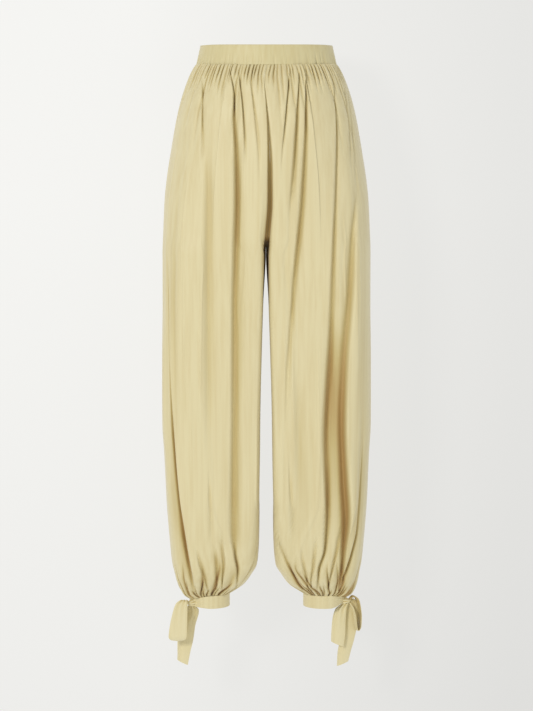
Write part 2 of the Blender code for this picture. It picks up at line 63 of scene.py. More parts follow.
# Ankle bands: middle beside the axis, radius, level of the top edge and height
ANKLE_X = 0.111
ANKLE_RADIUS = 0.0395
ANKLE_TOP = -1.0610
ANKLE_HEIGHT = 0.025

# How far round a band its knot pulls, in degrees, and how soon that fades
PULL_ANGLE = 56.0
PULL_POWER = 1.3


class Leg(Enum):
    """The wearer's legs, by the sign of their x."""

    RIGHT = -1
    LEFT = 1

    @property
    def word(self) -> str:
        """Name used in the nodes."""
        return self.name.lower()


class Face(Enum):
    """Front and back panels, by the sign of their y."""

    FRONT = -1
    BACK = 1

    @property
    def word(self) -> str:
        """Name used in the nodes."""
        return self.name.lower()


class Lip(Enum):
    """Which edge of a crease laps over its valley."""

    CENTRE = -1
    SIDE = 1


# Where each knot sits round its ankle band, in degrees from the wearer's left
KNOT_ANGLES = {Leg.RIGHT: 219.0, Leg.LEFT: -12.0}
# How far each knot pulls the top edge of its band down and the low edge up
KNOT_PULLS = {Leg.RIGHT: (0.0075, 0.0035), Leg.LEFT: (0.0085, 0.0110)}


def smooth_table(at: np.ndarray, keys: list, values: list) -> np.ndarray:
    """Values between the rows of a table, on a curve that never overshoots them.

    Args:
        at: Places to read, clipped to the table's range.
        keys: The table's key column, rising or falling.
        values: The table's value column.

    Returns:
        One value for each place.
    """
    keys = np.asarray(keys, dtype=float)
    values = np.asarray(values, dtype=float)
    if keys[0] > keys[-1]:
        keys = keys[::-1]
        values = values[::-1]
    steps = np.diff(keys)
    slopes = np.diff(values) / steps
    tangents = np.zeros(len(keys))
    tangents[0] = slopes[0]
    tangents[-1] = slopes[-1]
    for i in range(1, len(keys) - 1):
        if slopes[i - 1] * slopes[i] > 0.0:
            low = 2.0 * steps[i] + steps[i - 1]
            high = steps[i] + 2.0 * steps[i - 1]
            tangents[i] = (low + high) / (low / slopes[i - 1] + high / slopes[i])
    at = np.clip(np.asarray(at, dtype=float), keys[0], keys[-1])
    index = np.clip(np.searchsorted(keys, at) - 1, 0, len(steps) - 1)
    span = steps[index]
    share = (at - keys[index]) / span
    rise = share * share * (3.0 - 2.0 * share)
    level = values[index] * (1.0 - rise) + values[index + 1] * rise
    lean = share * (1.0 - share) ** 2 * tangents[index]
    lean_next = share * share * (share - 1.0) * tangents[index + 1]
    return level + span * (lean + lean_next)


def read_table(table: tuple, z: float, column: int = 1, key: int = 0) -> float:
    """One value of a table at a level.

    Args:
        table: Rows with a level in their key column.
        z: The level.
        column: The column to read.
        key: The column that holds the levels.

    Returns:
        The value there.
    """
    return float(smooth_table(z, [row[key] for row in table], [row[column] for row in table]))


def smooth_step(value: np.ndarray) -> np.ndarray:
    """Ease from 0 to 1.

    Args:
        value: Shares, clipped to the range 0 to 1.

    Returns:
        Eased shares.
    """
    value = np.clip(value, 0.0, 1.0)
    return value * value * (3.0 - 2.0 * value)


def bell(away: np.ndarray, width: np.ndarray, power: float = 2.0) -> np.ndarray:
    """A soft bump of height 1.

    Args:
        away: Distances from its middle.
        width: Its half width.
        power: Squareness: 2 is round, more is flatter with steeper sides.

    Returns:
        Its height at each distance.
    """
    return np.exp(-np.abs(away / width) ** power)


def running(steps: np.ndarray) -> np.ndarray:
    """Distance run before each step and after the last.

    Args:
        steps: Lengths of the steps.

    Returns:
        Distances from 0, one more than the steps.
    """
    return np.concatenate([[0.0], np.cumsum(steps)])


def knot_pull(around: np.ndarray, knot: float) -> np.ndarray:
    """How strongly a knot draws its ankle band together, from 0 to 1 at the knot.

    Args:
        around: Angles round the band in degrees.
        knot: The knot's angle in degrees.

    Returns:
        One share for each angle.
    """
    away = np.abs((np.asarray(around) - knot + 180.0) % 360.0 - 180.0)
    return np.clip(1.0 - away / PULL_ANGLE, 0.0, 1.0) ** PULL_POWER


@dataclass
class Shading:
    """Nodes of one new material, with short ways to add and join them."""

    name: str

    def __post_init__(self) -> None:
        """Start the material with its surface shader."""
        self.material = bpy.data.materials.new(self.name)
        self.material.use_nodes = True
        self.nodes = self.material.node_tree.nodes
        self.shader = self.nodes["Principled BSDF"]

    def fill(self, node: bpy.types.Node, values: dict) -> None:
        """Set plain values on a node.

        Args:
            node: The node.
            values: Values by socket name.
        """
        for socket, value in values.items():
            node.inputs[socket].default_value = value

    def add(self, kind: str, values: dict | None = None) -> bpy.types.Node:
        """Add a node.

        Args:
            kind: The node's type, without its prefix.
            values: Values by socket name.

        Returns:
            The node.
        """
        node = self.nodes.new(f"ShaderNode{kind}")
        self.fill(node, values or {})
        return node

    def join(self, source: bpy.types.Node, output: str, target: bpy.types.Node,
             socket: str | int) -> None:
        """Link two nodes.

        Args:
            source: The node that gives.
            output: Its socket.
            target: The node that takes.
            socket: Its socket.
        """
        self.material.node_tree.links.new(source.outputs[output], target.inputs[socket])


@dataclass(frozen=True)
class SatinCrepe:
    """Pale satin crepe with a soft sheen and fine streaks along its length."""

    name: str
    colour: Colour = (0.745, 0.665, 0.402)
    shade: Colour = (0.700, 0.607, 0.346)
    # Painted shade in the folds: what they keep of the colour, half way in and at their deepest
    fold_shade_half: Colour = (0.80, 0.74, 0.56)
    fold_shade_full: Colour = (0.62, 0.45, 0.26)
    roughness: float = 0.50
    gloss: float = 0.38
    sheen: float = 0.25
    sheen_roughness: float = 0.45
    streaks: Point = (150.0, 150.0, 2.2)
    # Where in the streaks the shade ends and the full colour starts
    streak_ends: tuple[float, float] = (0.30, 0.62)
    streak_height: float = 0.00010
    streak_strength: float = 0.6
    crepe_scale: float = 1300.0
    crepe_height: float = 0.00007
    crepe_strength: float = 0.5

    def material(self) -> bpy.types.Material:
        """Build the node material.

        Returns:
            A procedural material in object coordinates.
        """
        made = Shading(self.name)
        shader = made.shader
        made.fill(shader, {"Roughness": self.roughness, "Sheen Weight": self.sheen,
                           "Sheen Roughness": self.sheen_roughness,
                           "Specular IOR Level": self.gloss})
        where = made.add("TexCoord")
        stretch = made.add("Mapping", {"Scale": self.streaks})
        made.join(where, "Object", stretch, "Vector")
        streak = made.add("TexNoise", {"Scale": 1.0, "Detail": 3.0, "Roughness": 0.55})
        made.join(stretch, "Vector", streak, "Vector")
        tone = made.add("ValToRGB")
        for stop, position, colour in zip(tone.color_ramp.elements, self.streak_ends,
                                          (self.shade, self.colour)):
            stop.position = position
            stop.color = (*colour, 1.0)
        made.join(streak, "Fac", tone, "Fac")
        # Painted shade: the fold layer darkens and browns the colour in folds, creases and hollows
        fold = made.add("Attribute")
        fold.attribute_name = FOLD_SHADE_LAYER
        fold_shade_ramp = made.add("ValToRGB")
        fold_shade_ramp.color_ramp.elements[0].color = (1.0, 1.0, 1.0, 1.0)
        fold_shade_ramp.color_ramp.elements[1].color = (*self.fold_shade_full, 1.0)
        half = fold_shade_ramp.color_ramp.elements.new(0.5)
        half.color = (*self.fold_shade_half, 1.0)
        made.join(fold, "Fac", fold_shade_ramp, "Fac")
        deep = made.add("Mix")
        deep.data_type = "RGBA"
        deep.blend_type = "MULTIPLY"
        made.fill(deep, {"Factor": 1.0})
        made.join(tone, "Color", deep, "A")
        made.join(fold_shade_ramp, "Color", deep, "B")
        made.join(deep, "Result", shader, "Base Color")
        crepe = made.add("TexNoise", {"Scale": self.crepe_scale, "Detail": 2.0})
        made.join(where, "Object", crepe, "Vector")
        fine = made.add("Bump", {"Strength": self.crepe_strength,
                                 "Distance": self.crepe_height})
        made.join(crepe, "Fac", fine, "Height")
        long = made.add("Bump", {"Strength": self.streak_strength,
                                 "Distance": self.streak_height})
        made.join(streak, "Fac", long, "Height")
        made.join(fine, "Normal", long, "Normal")
        made.join(long, "Normal", shader, "Normal")
        return made.material


def material_of(finish: SatinCrepe) -> bpy.types.Material:
    """The material of a finish, made once.

    Args:
        finish: The cloth.

    Returns:
        Its material.
    """
    found = bpy.data.materials.get(finish.name)
    return found if found else finish.material()


def place(body: bmesh.types.BMesh, name: str,
          material: bpy.types.Material) -> bpy.types.Object:
    """Put a modelled body into the scene as a smooth object.

    Args:
        body: The body, used up by this.
        name: Object name.
        material: Its material.

    Returns:
        The object, at the origin.
    """
    mesh = bpy.data.meshes.new(name)
    body.to_mesh(mesh)
    body.free()
    mesh.polygons.foreach_set("use_smooth", [True] * len(mesh.polygons))
    mesh.materials.append(material)
    piece = bpy.data.objects.new(name, mesh)
    bpy.context.scene.collection.objects.link(piece)
    return piece


def declare(piece: bpy.types.Object, node: str) -> None:
    """Tie a piece to the frame.

    Args:
        piece: The piece.
        node: The node that it dresses.
    """
    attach(piece, "root")
    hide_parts(node)


def shell(name: str, grid: np.ndarray, wall: float, finish: SatinCrepe,
          outward: Point) -> bpy.types.Object:
    """A thin cloth shell through a grid of points.

    Args:
        name: Object name.
        grid: Points and the shade painted in their folds, as rows by columns.
        wall: Thickness of the cloth, laid inside the grid.
        finish: The cloth.
        outward: A direction that the middle of the grid faces.

    Returns:
        The piece, with a solidify modifier.
    """
    rows, columns = grid.shape[:2]
    body = bmesh.new()
    bmesh.ops.create_grid(body, x_segments=columns - 1, y_segments=rows - 1, size=0.5)
    folds = body.verts.layers.float.new(FOLD_SHADE_LAYER)
    for vert in body.verts:
        j = round((vert.co.x + 0.5) * (columns - 1))
        i = round((0.5 - vert.co.y) * (rows - 1))
        vert.co = grid[i, j, :3]
        vert[folds] = grid[i, j, 3]
    for edge in body.edges:
        edge.smooth = not edge.is_boundary
    body.normal_update()
    total = Vector()
    for face in body.faces:
        total += face.normal * face.calc_area()
    if total.dot(Vector(outward)) < 0.0:
        bmesh.ops.reverse_faces(body, faces=body.faces[:])
    piece = place(body, name, material_of(finish))
    thick = piece.modifiers.new("wall", "SOLIDIFY")
    thick.thickness = wall
    thick.offset = -1.0
    thick.use_even_offset = False
    return piece


def ring_solid(name: str, rings: list, finish: SatinCrepe) -> bpy.types.Object:
    """A closed body through rings, the last joined to the first.

    Args:
        name: Object name.
        rings: Rings of points, all with the same number.
        finish: The cloth.

    Returns:
        The piece.
    """
    body = bmesh.new()
    bmesh.ops.create_circle(body, segments=len(rings[0]), radius=1.0)
    edges = body.edges[:]
    layers = [body.verts[:]]
    for _ in rings[1:]:
        made = bmesh.ops.extrude_edge_only(body, edges=edges)
        edges = [item for item in made["geom"] if isinstance(item, bmesh.types.BMEdge)
                 and item.is_boundary]
        layers.append([item for item in made["geom"] if isinstance(item, bmesh.types.BMVert)])
    for layer, ring in zip(layers, rings):
        for vert, point in zip(layer, ring):
            vert.co = point
    bmesh.ops.bridge_loops(body, edges=[edge for edge in body.edges if edge.is_boundary])
    bmesh.ops.recalc_face_normals(body, faces=body.faces[:])
    return place(body, name, material_of(finish))


class Station(NamedTuple):
    """One level of the legs: half sizes, and how far the two legs have parted."""

    z: float
    outer: float
    inner: float
    front: float
    back: float
    split: float


@dataclass(frozen=True)
class LegForm:
    """Plain form of the legs, without folds: the same as the solids' form."""

    pelvis_power: float = 2.2
    outer_power: float = 3.5
    # Squareness of the legs' inner corners by level
    inner_power: tuple = ((-0.0366, 10.0), (-0.3000, 17.0), (-0.8500, 14.0), (-0.9600, 5.5),
                          (-1.0613, 2.6))
    crotch_z: float = -0.3960
    # How much later the outer corners square up than the inner ones
    corner_lag: float = 0.17
    lag_reach: float = 0.052
    samples: int = 1500
    # Points across the floor of the trough
    floor_points: int = 12
    # How far the centre seam wanders to the wearer's left: (level, distance)
    wander: tuple = ((-0.0366, 0.0000), (-0.0600, -0.0045), (-0.1000, -0.0010),
                     (-0.1570, 0.0040), (-0.2300, 0.0068), (-0.2900, 0.0068),
                     (-0.3500, 0.0025), (-0.3960, -0.0012), (-0.8000, -0.0008),
                     (-1.0613, 0.0000))
    wander_reach: float = 0.035
    # The trough's depth where the legs are joined, and where they start to part
    trough_depth: float = 0.021
    trough_end: float = -0.358
    # Half width of the trough between the legs: (level, in front, behind)
    trough: tuple = ((-0.0366, 0.0000, 0.0000), (-0.1000, 0.0008, 0.0006),
                     (-0.1700, 0.0026, 0.0010), (-0.2400, 0.0044, 0.0014),
                     (-0.3960, 0.0046, 0.0014), (-0.4885, 0.0052, 0.0040),
                     (-0.5850, 0.0080, 0.0075), (-0.7220, 0.0112, 0.0112),
                     (-1.0613, 0.0000, 0.0000))
    stations: tuple = (
        Station(-0.0366, 0.1325, 0.0000, 0.1000, 0.1000, 0.00),
        Station(-0.0378, 0.1340, 0.0000, 0.1014, 0.1014, 0.00),
        Station(-0.0480, 0.1410, 0.0000, 0.1070, 0.1080, 0.00),
        Station(-0.0670, 0.1500, 0.0000, 0.1140, 0.1160, 0.01),
        Station(-0.0860, 0.1570, 0.0000, 0.1190, 0.1230, 0.03),
        Station(-0.1050, 0.1630, 0.0000, 0.1230, 0.1290, 0.05),
        Station(-0.1430, 0.1720, 0.0000, 0.1290, 0.1370, 0.09),
        Station(-0.2000, 0.1820, 0.0000, 0.1340, 0.1430, 0.17),
        Station(-0.2576, 0.1910, 0.0000, 0.1350, 0.1440, 0.28),
        Station(-0.2960, 0.1950, 0.0000, 0.1330, 0.1420, 0.41),
        Station(-0.3500, 0.1975, 0.0000, 0.1290, 0.1370, 0.68),
        Station(-0.3960, 0.1990, 0.0000, 0.1250, 0.1320, 1.00),
        Station(-0.4885, 0.1990, 0.0048, 0.1180, 0.1240, 1.00),
        Station(-0.5850, 0.2005, 0.0080, 0.1120, 0.1160, 1.00),
        Station(-0.7220, 0.2010, 0.0112, 0.1060, 0.1090, 1.00),
        Station(-0.7805, 0.1975, 0.0118, 0.1040, 0.1070, 1.00),
        Station(-0.8790, 0.1930, 0.0135, 0.1010, 0.1030, 1.00),
        Station(-0.9580, 0.1870, 0.0145, 0.0960, 0.0980, 1.00),
        Station(-0.9970, 0.1835, 0.0170, 0.0890, 0.0910, 1.00),
        Station(-1.0170, 0.1790, 0.0270, 0.0810, 0.0830, 1.00),
        Station(-1.0370, 0.1725, 0.0400, 0.0680, 0.0690, 1.00),
        Station(-1.0530, 0.1630, 0.0590, 0.0500, 0.0500, 1.00),
        Station(-1.0595, 0.1540, 0.0685, 0.0415, 0.0415, 1.00),
        Station(-1.0613, 0.1502, 0.0718, 0.0391, 0.0391, 1.00),
    )

    @property
    def top_z(self) -> float:
        """Level of the waist seam."""
        return self.stations[0].z

    @property
    def foot_z(self) -> float:
        """Level of the ankle seam."""
        return self.stations[-1].z

    def at(self, z: float) -> Station:
        """Sizes at a level between the stations.

        Args:
            z: The level.

        Returns:
            The sizes there.
        """
        columns = range(1, len(Station._fields))
        return Station(z, *(read_table(self.stations, z, column) for column in columns))

    def outline(self, z: float, face: Face) -> np.ndarray:
        """Outline of one quarter at a level, from the axis or inseam to the side.

        Args:
            z: The level.
            face: Front or back.

        Returns:
            Points as (distance from the axis, distance from the side seam's plane).
        """
        size = self.at(z)
        depth = size.front if face is Face.FRONT else size.back
        column = 1 if face is Face.FRONT else 2
        edge = max(read_table(self.trough, z, column), size.inner)
        turn = np.linspace(0.0, math.pi, self.samples)
        across = edge + (size.outer - edge) * (1.0 - np.cos(turn)) / 2.0
        pelvis = np.clip(across / size.outer, 0.0, 1.0) ** self.pelvis_power
        pelvis = np.clip(1.0 - pelvis, 0.0, 1.0) ** (1.0 / self.pelvis_power)
        middle = (size.outer + edge) / 2.0
        reach = (size.outer - edge) / 2.0
        inner = read_table(self.inner_power, z)
        power = np.where(across < middle, inner, min(inner, self.outer_power))
        leg = np.clip(np.abs(across - middle) / reach, 0.0, 1.0) ** power
        leg = np.clip(1.0 - leg, 0.0, 1.0) ** (1.0 / power)
        # Both ends lie on the seams exactly
        leg[[0, -1]] = 0.0
        lag = self.corner_lag * math.exp(-((z - self.crotch_z) / self.lag_reach) ** 2)
        split = size.split - lag * smooth_step((across - middle) / reach)
        outward = depth * ((1.0 - split) * pelvis + split * leg)
        # Where the legs are joined, the trough never goes past its own depth
        apart = smooth_step((self.trough_end - z) / (self.trough_end - self.crotch_z))
        recess = np.where(across < middle, outward.max() - outward, 0.0)
        sunk = self.trough_depth * (1.0 - np.exp(-recess / self.trough_depth))
        outward = outward + (1.0 - apart) * (recess - sunk)
        floor = np.linspace(size.inner, edge, self.floor_points, endpoint=False)
        across = np.concatenate([floor, across])
        outward = np.concatenate([np.full_like(floor, outward[0]), outward])
        return np.stack([across, outward], axis=1)


class Crease(NamedTuple):
    """A main fold: its lapping edge, how wide and how much it eases off on the other
    side, its overlap and the path of its valley."""

    leg: Leg
    face: Face
    lip: Lip
    soft: float
    ease: float
    lap: float
    path: tuple


# Short names for the rows below
R, L, F, B = Leg.RIGHT, Leg.LEFT, Face.FRONT, Face.BACK

# Each path lists (x from the axis, z, depth, half width) from its top to its foot
CREASES = (
    Crease(R, F, Lip.SIDE, 0.009, 0.45, 0.0012, (
        (0.1225, -0.060, 0.0000, 0.0014), (0.1210, -0.085, 0.0060, 0.0014),
        (0.1210, -0.140, 0.0080, 0.0016), (0.1195, -0.185, 0.0044, 0.0025),
        (0.1180, -0.250, 0.0000, 0.0018))),
    Crease(R, F, Lip.SIDE, 0.016, 0.70, 0.0000, (
        (0.1120, -0.170, 0.0000, 0.0050), (0.1085, -0.280, 0.0070, 0.0070),
        (0.1090, -0.450, 0.0075, 0.0080), (0.1090, -0.650, 0.0060, 0.0080),
        (0.1100, -0.800, 0.0000, 0.0060))),
    Crease(R, F, Lip.SIDE, 0.013, 0.35, 0.0020, (
        (0.0720, -0.041, 0.0000, 0.0012), (0.0665, -0.060, 0.0060, 0.0013),
        (0.0614, -0.093, 0.0090, 0.0016), (0.0610, -0.140, 0.0097, 0.0028),
        (0.0578, -0.196, 0.0123, 0.0042), (0.0560, -0.289, 0.0141, 0.0056),
        (0.0580, -0.400, 0.0120, 0.0060), (0.0603, -0.500, 0.0108, 0.0062),
        (0.0603, -0.700, 0.0104, 0.0068), (0.0615, -0.820, 0.0108, 0.0080),
        (0.0625, -0.920, 0.0116, 0.0074), (0.0605, -0.970, 0.0096, 0.0029),
        (0.0550, -1.004, 0.0089, 0.0025), (0.0580, -1.045, 0.0030, 0.0020))),
    Crease(R, F, Lip.SIDE, 0.008, 0.45, 0.0010, (
        (0.0520, -0.045, 0.0000, 0.0013), (0.0502, -0.065, 0.0060, 0.0013),
        (0.0455, -0.110, 0.0080, 0.0015), (0.0428, -0.158, 0.0070, 0.0017),
        (0.0392, -0.224, 0.0000, 0.0020))),
    Crease(R, F, Lip.SIDE, 0.008, 0.50, 0.0008, (
        (0.0290, -0.050, 0.0000, 0.0013), (0.0250, -0.100, 0.0050, 0.0015),
        (0.0200, -0.170, 0.0044, 0.0025), (0.0168, -0.260, 0.0000, 0.0020))),
    Crease(R, F, Lip.CENTRE, 0.012, 0.40, 0.0015, (
        (0.1880, -0.380, 0.0000, 0.0016), (0.1860, -0.500, 0.0088, 0.0028),
        (0.1800, -0.690, 0.0112, 0.0031), (0.1750, -0.780, 0.0136, 0.0036),
        (0.1690, -0.858, 0.0142, 0.0036), (0.1610, -0.920, 0.0160, 0.0045),
        (0.1525, -0.973, 0.0133, 0.0040), (0.1440, -1.020, 0.0104, 0.0036),
        (0.1400, -1.052, 0.0030, 0.0027))),
    Crease(R, F, Lip.CENTRE, 0.006, 0.35, 0.0010, (
        (0.0850, -0.915, 0.0000, 0.0014), (0.0853, -0.944, 0.0053, 0.0034),
        (0.0815, -0.990, 0.0067, 0.0028), (0.0840, -1.020, 0.0074, 0.0017),
        (0.0860, -1.045, 0.0030, 0.0015))),
    Crease(R, F, Lip.SIDE, 0.006, 0.40, 0.0008, (
        (0.1085, -0.800, 0.0000, 0.0018), (0.1080, -0.860, 0.0044, 0.0031),
        (0.1070, -0.900, 0.0044, 0.0031), (0.1075, -0.955, 0.0000, 0.0018))),
    Crease(R, F, Lip.SIDE, 0.006, 0.30, 0.0010, (
        (0.0100, -0.930, 0.0000, 0.0018), (0.0165, -0.957, 0.0060, 0.0022),
        (0.0250, -0.990, 0.0072, 0.0029), (0.0390, -1.018, 0.0064, 0.0027),
        (0.0590, -1.047, 0.0015, 0.0020))),
    Crease(R, F, Lip.CENTRE, 0.006, 0.35, 0.0010, (
        (0.0985, -0.945, 0.0000, 0.0014), (0.0967, -0.973, 0.0044, 0.0029),
        (0.0955, -1.010, 0.0067, 0.0025), (0.0970, -1.045, 0.0030, 0.0015))),
    Crease(R, F, Lip.SIDE, 0.006, 0.35, 0.0010, (
        (0.1340, -0.955, 0.0000, 0.0014), (0.1278, -0.987, 0.0052, 0.0029),
        (0.1184, -1.020, 0.0067, 0.0025), (0.1130, -1.048, 0.0030, 0.0015))),
    Crease(L, F, Lip.CENTRE, 0.007, 0.40, 0.0010, (
        (0.0455, -0.041, 0.0000, 0.0012), (0.0409, -0.084, 0.0080, 0.0014),
        (0.0340, -0.140, 0.0080, 0.0016), (0.0261, -0.196, 0.0030, 0.0016),
        (0.0220, -0.235, 0.0000, 0.0016))),
    Crease(L, F, Lip.CENTRE, 0.009, 0.40, 0.0012, (
        (0.0620, -0.041, 0.0000, 0.0012), (0.0600, -0.084, 0.0080, 0.0015),
        (0.0577, -0.121, 0.0088, 0.0025), (0.0535, -0.185, 0.0106, 0.0036),
        (0.0485, -0.252, 0.0079, 0.0039), (0.0410, -0.320, 0.0000, 0.0024))),
    Crease(L, F, Lip.CENTRE, 0.011, 0.40, 0.0015, (
        (0.0750, -0.041, 0.0000, 0.0013), (0.0740, -0.090, 0.0090, 0.0016),
        (0.0735, -0.150, 0.0097, 0.0031), (0.0680, -0.270, 0.0114, 0.0048),
        (0.0600, -0.364, 0.0106, 0.0048), (0.0525, -0.440, 0.0088, 0.0042),
        (0.0471, -0.524, 0.0062, 0.0039), (0.0397, -0.640, 0.0035, 0.0042),
        (0.0370, -0.740, 0.0000, 0.0030))),
    Crease(L, F, Lip.CENTRE, 0.011, 0.40, 0.0018, (
        (0.1245, -0.055, 0.0000, 0.0012), (0.1290, -0.100, 0.0070, 0.0014),
        (0.1325, -0.180, 0.0088, 0.0028), (0.1310, -0.260, 0.0088, 0.0034),
        (0.1265, -0.370, 0.0088, 0.0039), (0.1203, -0.571, 0.0097, 0.0050),
        (0.1120, -0.740, 0.0126, 0.0054), (0.1155, -0.880, 0.0142, 0.0047),
        (0.1110, -0.960, 0.0111, 0.0031), (0.1000, -1.000, 0.0104, 0.0025),
        (0.0970, -1.045, 0.0030, 0.0018))),
    Crease(L, F, Lip.SIDE, 0.014, 0.40, 0.0020, (
        (0.1740, -0.250, 0.0000, 0.0030), (0.1650, -0.330, 0.0080, 0.0056),
        (0.1590, -0.458, 0.0116, 0.0074), (0.1480, -0.590, 0.0120, 0.0074),
        (0.1440, -0.714, 0.0150, 0.0074), (0.1495, -0.830, 0.0202, 0.0084),
        (0.1535, -0.900, 0.0229, 0.0087), (0.1490, -0.965, 0.0163, 0.0054),
        (0.1440, -1.010, 0.0111, 0.0034), (0.1400, -1.048, 0.0030, 0.0022))),
    Crease(L, F, Lip.CENTRE, 0.008, 0.35, 0.0012, (
        (0.1850, -0.740, 0.0000, 0.0016), (0.1830, -0.800, 0.0053, 0.0025),
        (0.1760, -0.920, 0.0088, 0.0031), (0.1640, -0.973, 0.0104, 0.0029),
        (0.1480, -1.025, 0.0089, 0.0025), (0.1420, -1.052, 0.0022, 0.0018))),
    Crease(L, F, Lip.CENTRE, 0.007, 0.45, 0.0008, (
        (0.1420, -0.045, 0.0000, 0.0012), (0.1455, -0.070, 0.0070, 0.0013),
        (0.1545, -0.140, 0.0080, 0.0015), (0.1570, -0.180, 0.0040, 0.0016),
        (0.1590, -0.240, 0.0000, 0.0016))),
    Crease(L, F, Lip.CENTRE, 0.007, 0.45, 0.0008, (
        (0.1530, -0.080, 0.0000, 0.0012), (0.1575, -0.115, 0.0060, 0.0014),
        (0.1650, -0.195, 0.0040, 0.0016), (0.1680, -0.270, 0.0000, 0.0016))),
    Crease(L, F, Lip.CENTRE, 0.007, 0.40, 0.0010, (
        (0.0120, -0.915, 0.0000, 0.0018), (0.0208, -0.944, 0.0062, 0.0031),
        (0.0361, -0.982, 0.0074, 0.0029), (0.0550, -1.020, 0.0067, 0.0025),
        (0.0720, -1.052, 0.0015, 0.0018))),
    Crease(L, F, Lip.CENTRE, 0.007, 0.45, 0.0008, (
        (0.0440, -0.770, 0.0000, 0.0018), (0.0460, -0.850, 0.0044, 0.0031),
        (0.0500, -0.900, 0.0044, 0.0031), (0.0510, -0.950, 0.0000, 0.0020))),
    Crease(L, F, Lip.SIDE, 0.006, 0.35, 0.0010, (
        (0.1400, -0.915, 0.0000, 0.0014), (0.1375, -0.945, 0.0053, 0.0036),
        (0.1287, -0.990, 0.0074, 0.0029), (0.1210, -1.030, 0.0074, 0.0017),
        (0.1190, -1.050, 0.0022, 0.0015))),
    Crease(L, F, Lip.SIDE, 0.006, 0.35, 0.0010, (
        (0.0950, -0.930, 0.0000, 0.0014), (0.0930, -0.958, 0.0044, 0.0031),
        (0.0900, -0.992, 0.0067, 0.0029), (0.0860, -1.025, 0.0067, 0.0017),
        (0.0865, -1.050, 0.0022, 0.0015))),
    Crease(L, F, Lip.CENTRE, 0.006, 0.35, 0.0010, (
        (0.0660, -0.950, 0.0000, 0.0014), (0.0690, -0.980, 0.0044, 0.0029),
        (0.0760, -1.015, 0.0067, 0.0025), (0.0800, -1.048, 0.0022, 0.0015))),
    Crease(R, B, Lip.CENTRE, 0.010, 0.40, 0.0020, (
        (0.0600, -0.045, 0.0000, 0.0026), (0.0560, -0.150, 0.0123, 0.0036),
        (0.0500, -0.300, 0.0141, 0.0036), (0.0550, -0.520, 0.0070, 0.0036),
        (0.0600, -0.700, 0.0000, 0.0026))),
    Crease(R, B, Lip.SIDE, 0.013, 0.45, 0.0020, (
        (0.1020, -0.060, 0.0000, 0.0031), (0.1060, -0.210, 0.0088, 0.0043),
        (0.1040, -0.480, 0.0106, 0.0043), (0.0990, -0.760, 0.0088, 0.0043),
        (0.0970, -0.960, 0.0160, 0.0031), (0.1000, -1.045, 0.0000, 0.0031))),
    Crease(R, B, Lip.SIDE, 0.010, 0.40, 0.0030, (
        (0.1500, -0.070, 0.0000, 0.0027), (0.1630, -0.300, 0.0062, 0.0038),
        (0.1580, -0.620, 0.0097, 0.0038), (0.1480, -0.900, 0.0176, 0.0038),
        (0.1380, -1.045, 0.0000, 0.0027))),
    Crease(R, B, Lip.CENTRE, 0.009, 0.50, 0.0010, (
        (0.0260, -0.055, 0.0000, 0.0020), (0.0230, -0.140, 0.0070, 0.0028),
        (0.0210, -0.260, 0.0000, 0.0020))),
    Crease(R, B, Lip.CENTRE, 0.009, 0.40, 0.0020, (
        (0.0460, -0.780, 0.0000, 0.0026), (0.0500, -0.920, 0.0114, 0.0036),
        (0.0640, -1.000, 0.0160, 0.0026), (0.0760, -1.046, 0.0000, 0.0026))),
    Crease(L, B, Lip.CENTRE, 0.010, 0.40, 0.0020, (
        (0.0560, -0.045, 0.0000, 0.0027), (0.0500, -0.170, 0.0123, 0.0038),
        (0.0560, -0.380, 0.0123, 0.0038), (0.0640, -0.600, 0.0000, 0.0027))),
    Crease(L, B, Lip.SIDE, 0.010, 0.45, 0.0015, (
        (0.0900, -0.050, 0.0000, 0.0020), (0.0920, -0.160, 0.0088, 0.0028),
        (0.0960, -0.290, 0.0000, 0.0020))),
    Crease(L, B, Lip.CENTRE, 0.012, 0.40, 0.0025, (
        (0.1280, -0.070, 0.0000, 0.0029), (0.1340, -0.260, 0.0088, 0.0041),
        (0.1260, -0.560, 0.0123, 0.0041), (0.1180, -0.850, 0.0123, 0.0041),
        (0.1120, -0.980, 0.0180, 0.0029), (0.1120, -1.046, 0.0000, 0.0029))),
    Crease(L, B, Lip.SIDE, 0.011, 0.40, 0.0030, (
        (0.1760, -0.300, 0.0000, 0.0027), (0.1700, -0.560, 0.0062, 0.0038),
        (0.1610, -0.820, 0.0141, 0.0038), (0.1480, -0.970, 0.0200, 0.0027),
        (0.1410, -1.046, 0.0000, 0.0027))),
    Crease(L, B, Lip.SIDE, 0.010, 0.40, 0.0020, (
        (0.0600, -0.640, 0.0000, 0.0027), (0.0560, -0.820, 0.0079, 0.0038),
        (0.0620, -0.960, 0.0150, 0.0027), (0.0800, -1.046, 0.0000, 0.0027))),
)


class Gather(NamedTuple):
    """One small pleat at a gathered seam, by its share of the panel's width; it leans
    by its drift and sways by its sway."""

    share: float
    depth: float
    reach: float
    width: float
    drift: float
    sway: float
    skew: float


class Gathers(NamedTuple):
    """Ranges that one seam's pleats are drawn from."""

    count: int
    jitter: float
    long_share: float
    long_reach: tuple[float, float]
    short_reach: tuple[float, float]
    depth: tuple[float, float]
    long_depth: float
    width: tuple[float, float]
    drift: float
    sway: float
    skew: float

    def draw(self, rng: np.random.Generator) -> list[Gather]:
        """Draw the pleats, spread unevenly over the panel's width.

        Args:
            rng: Seeded random numbers.

        Returns:
            The pleats.
        """
        drawn = []
        for i in range(self.count):
            share = (i + 0.5 + rng.uniform(-self.jitter, self.jitter)) / self.count
            long = rng.random() < self.long_share
            reach = rng.uniform(*(self.long_reach if long else self.short_reach))
            depth = rng.uniform(*self.depth) * (self.long_depth if long else 1.0)
            drawn.append(Gather(share, depth, reach, rng.uniform(*self.width),
                                rng.uniform(-self.drift, self.drift),
                                rng.uniform(-self.sway, self.sway),
                                rng.uniform(-self.skew, self.skew)))
        return drawn


class SoftFold(NamedTuple):
    """One long soft fold, or a ridge where its depth is negative."""

    share: float
    top: float
    foot: float
    depth: float
    width: float
    drift: float
    skew: float


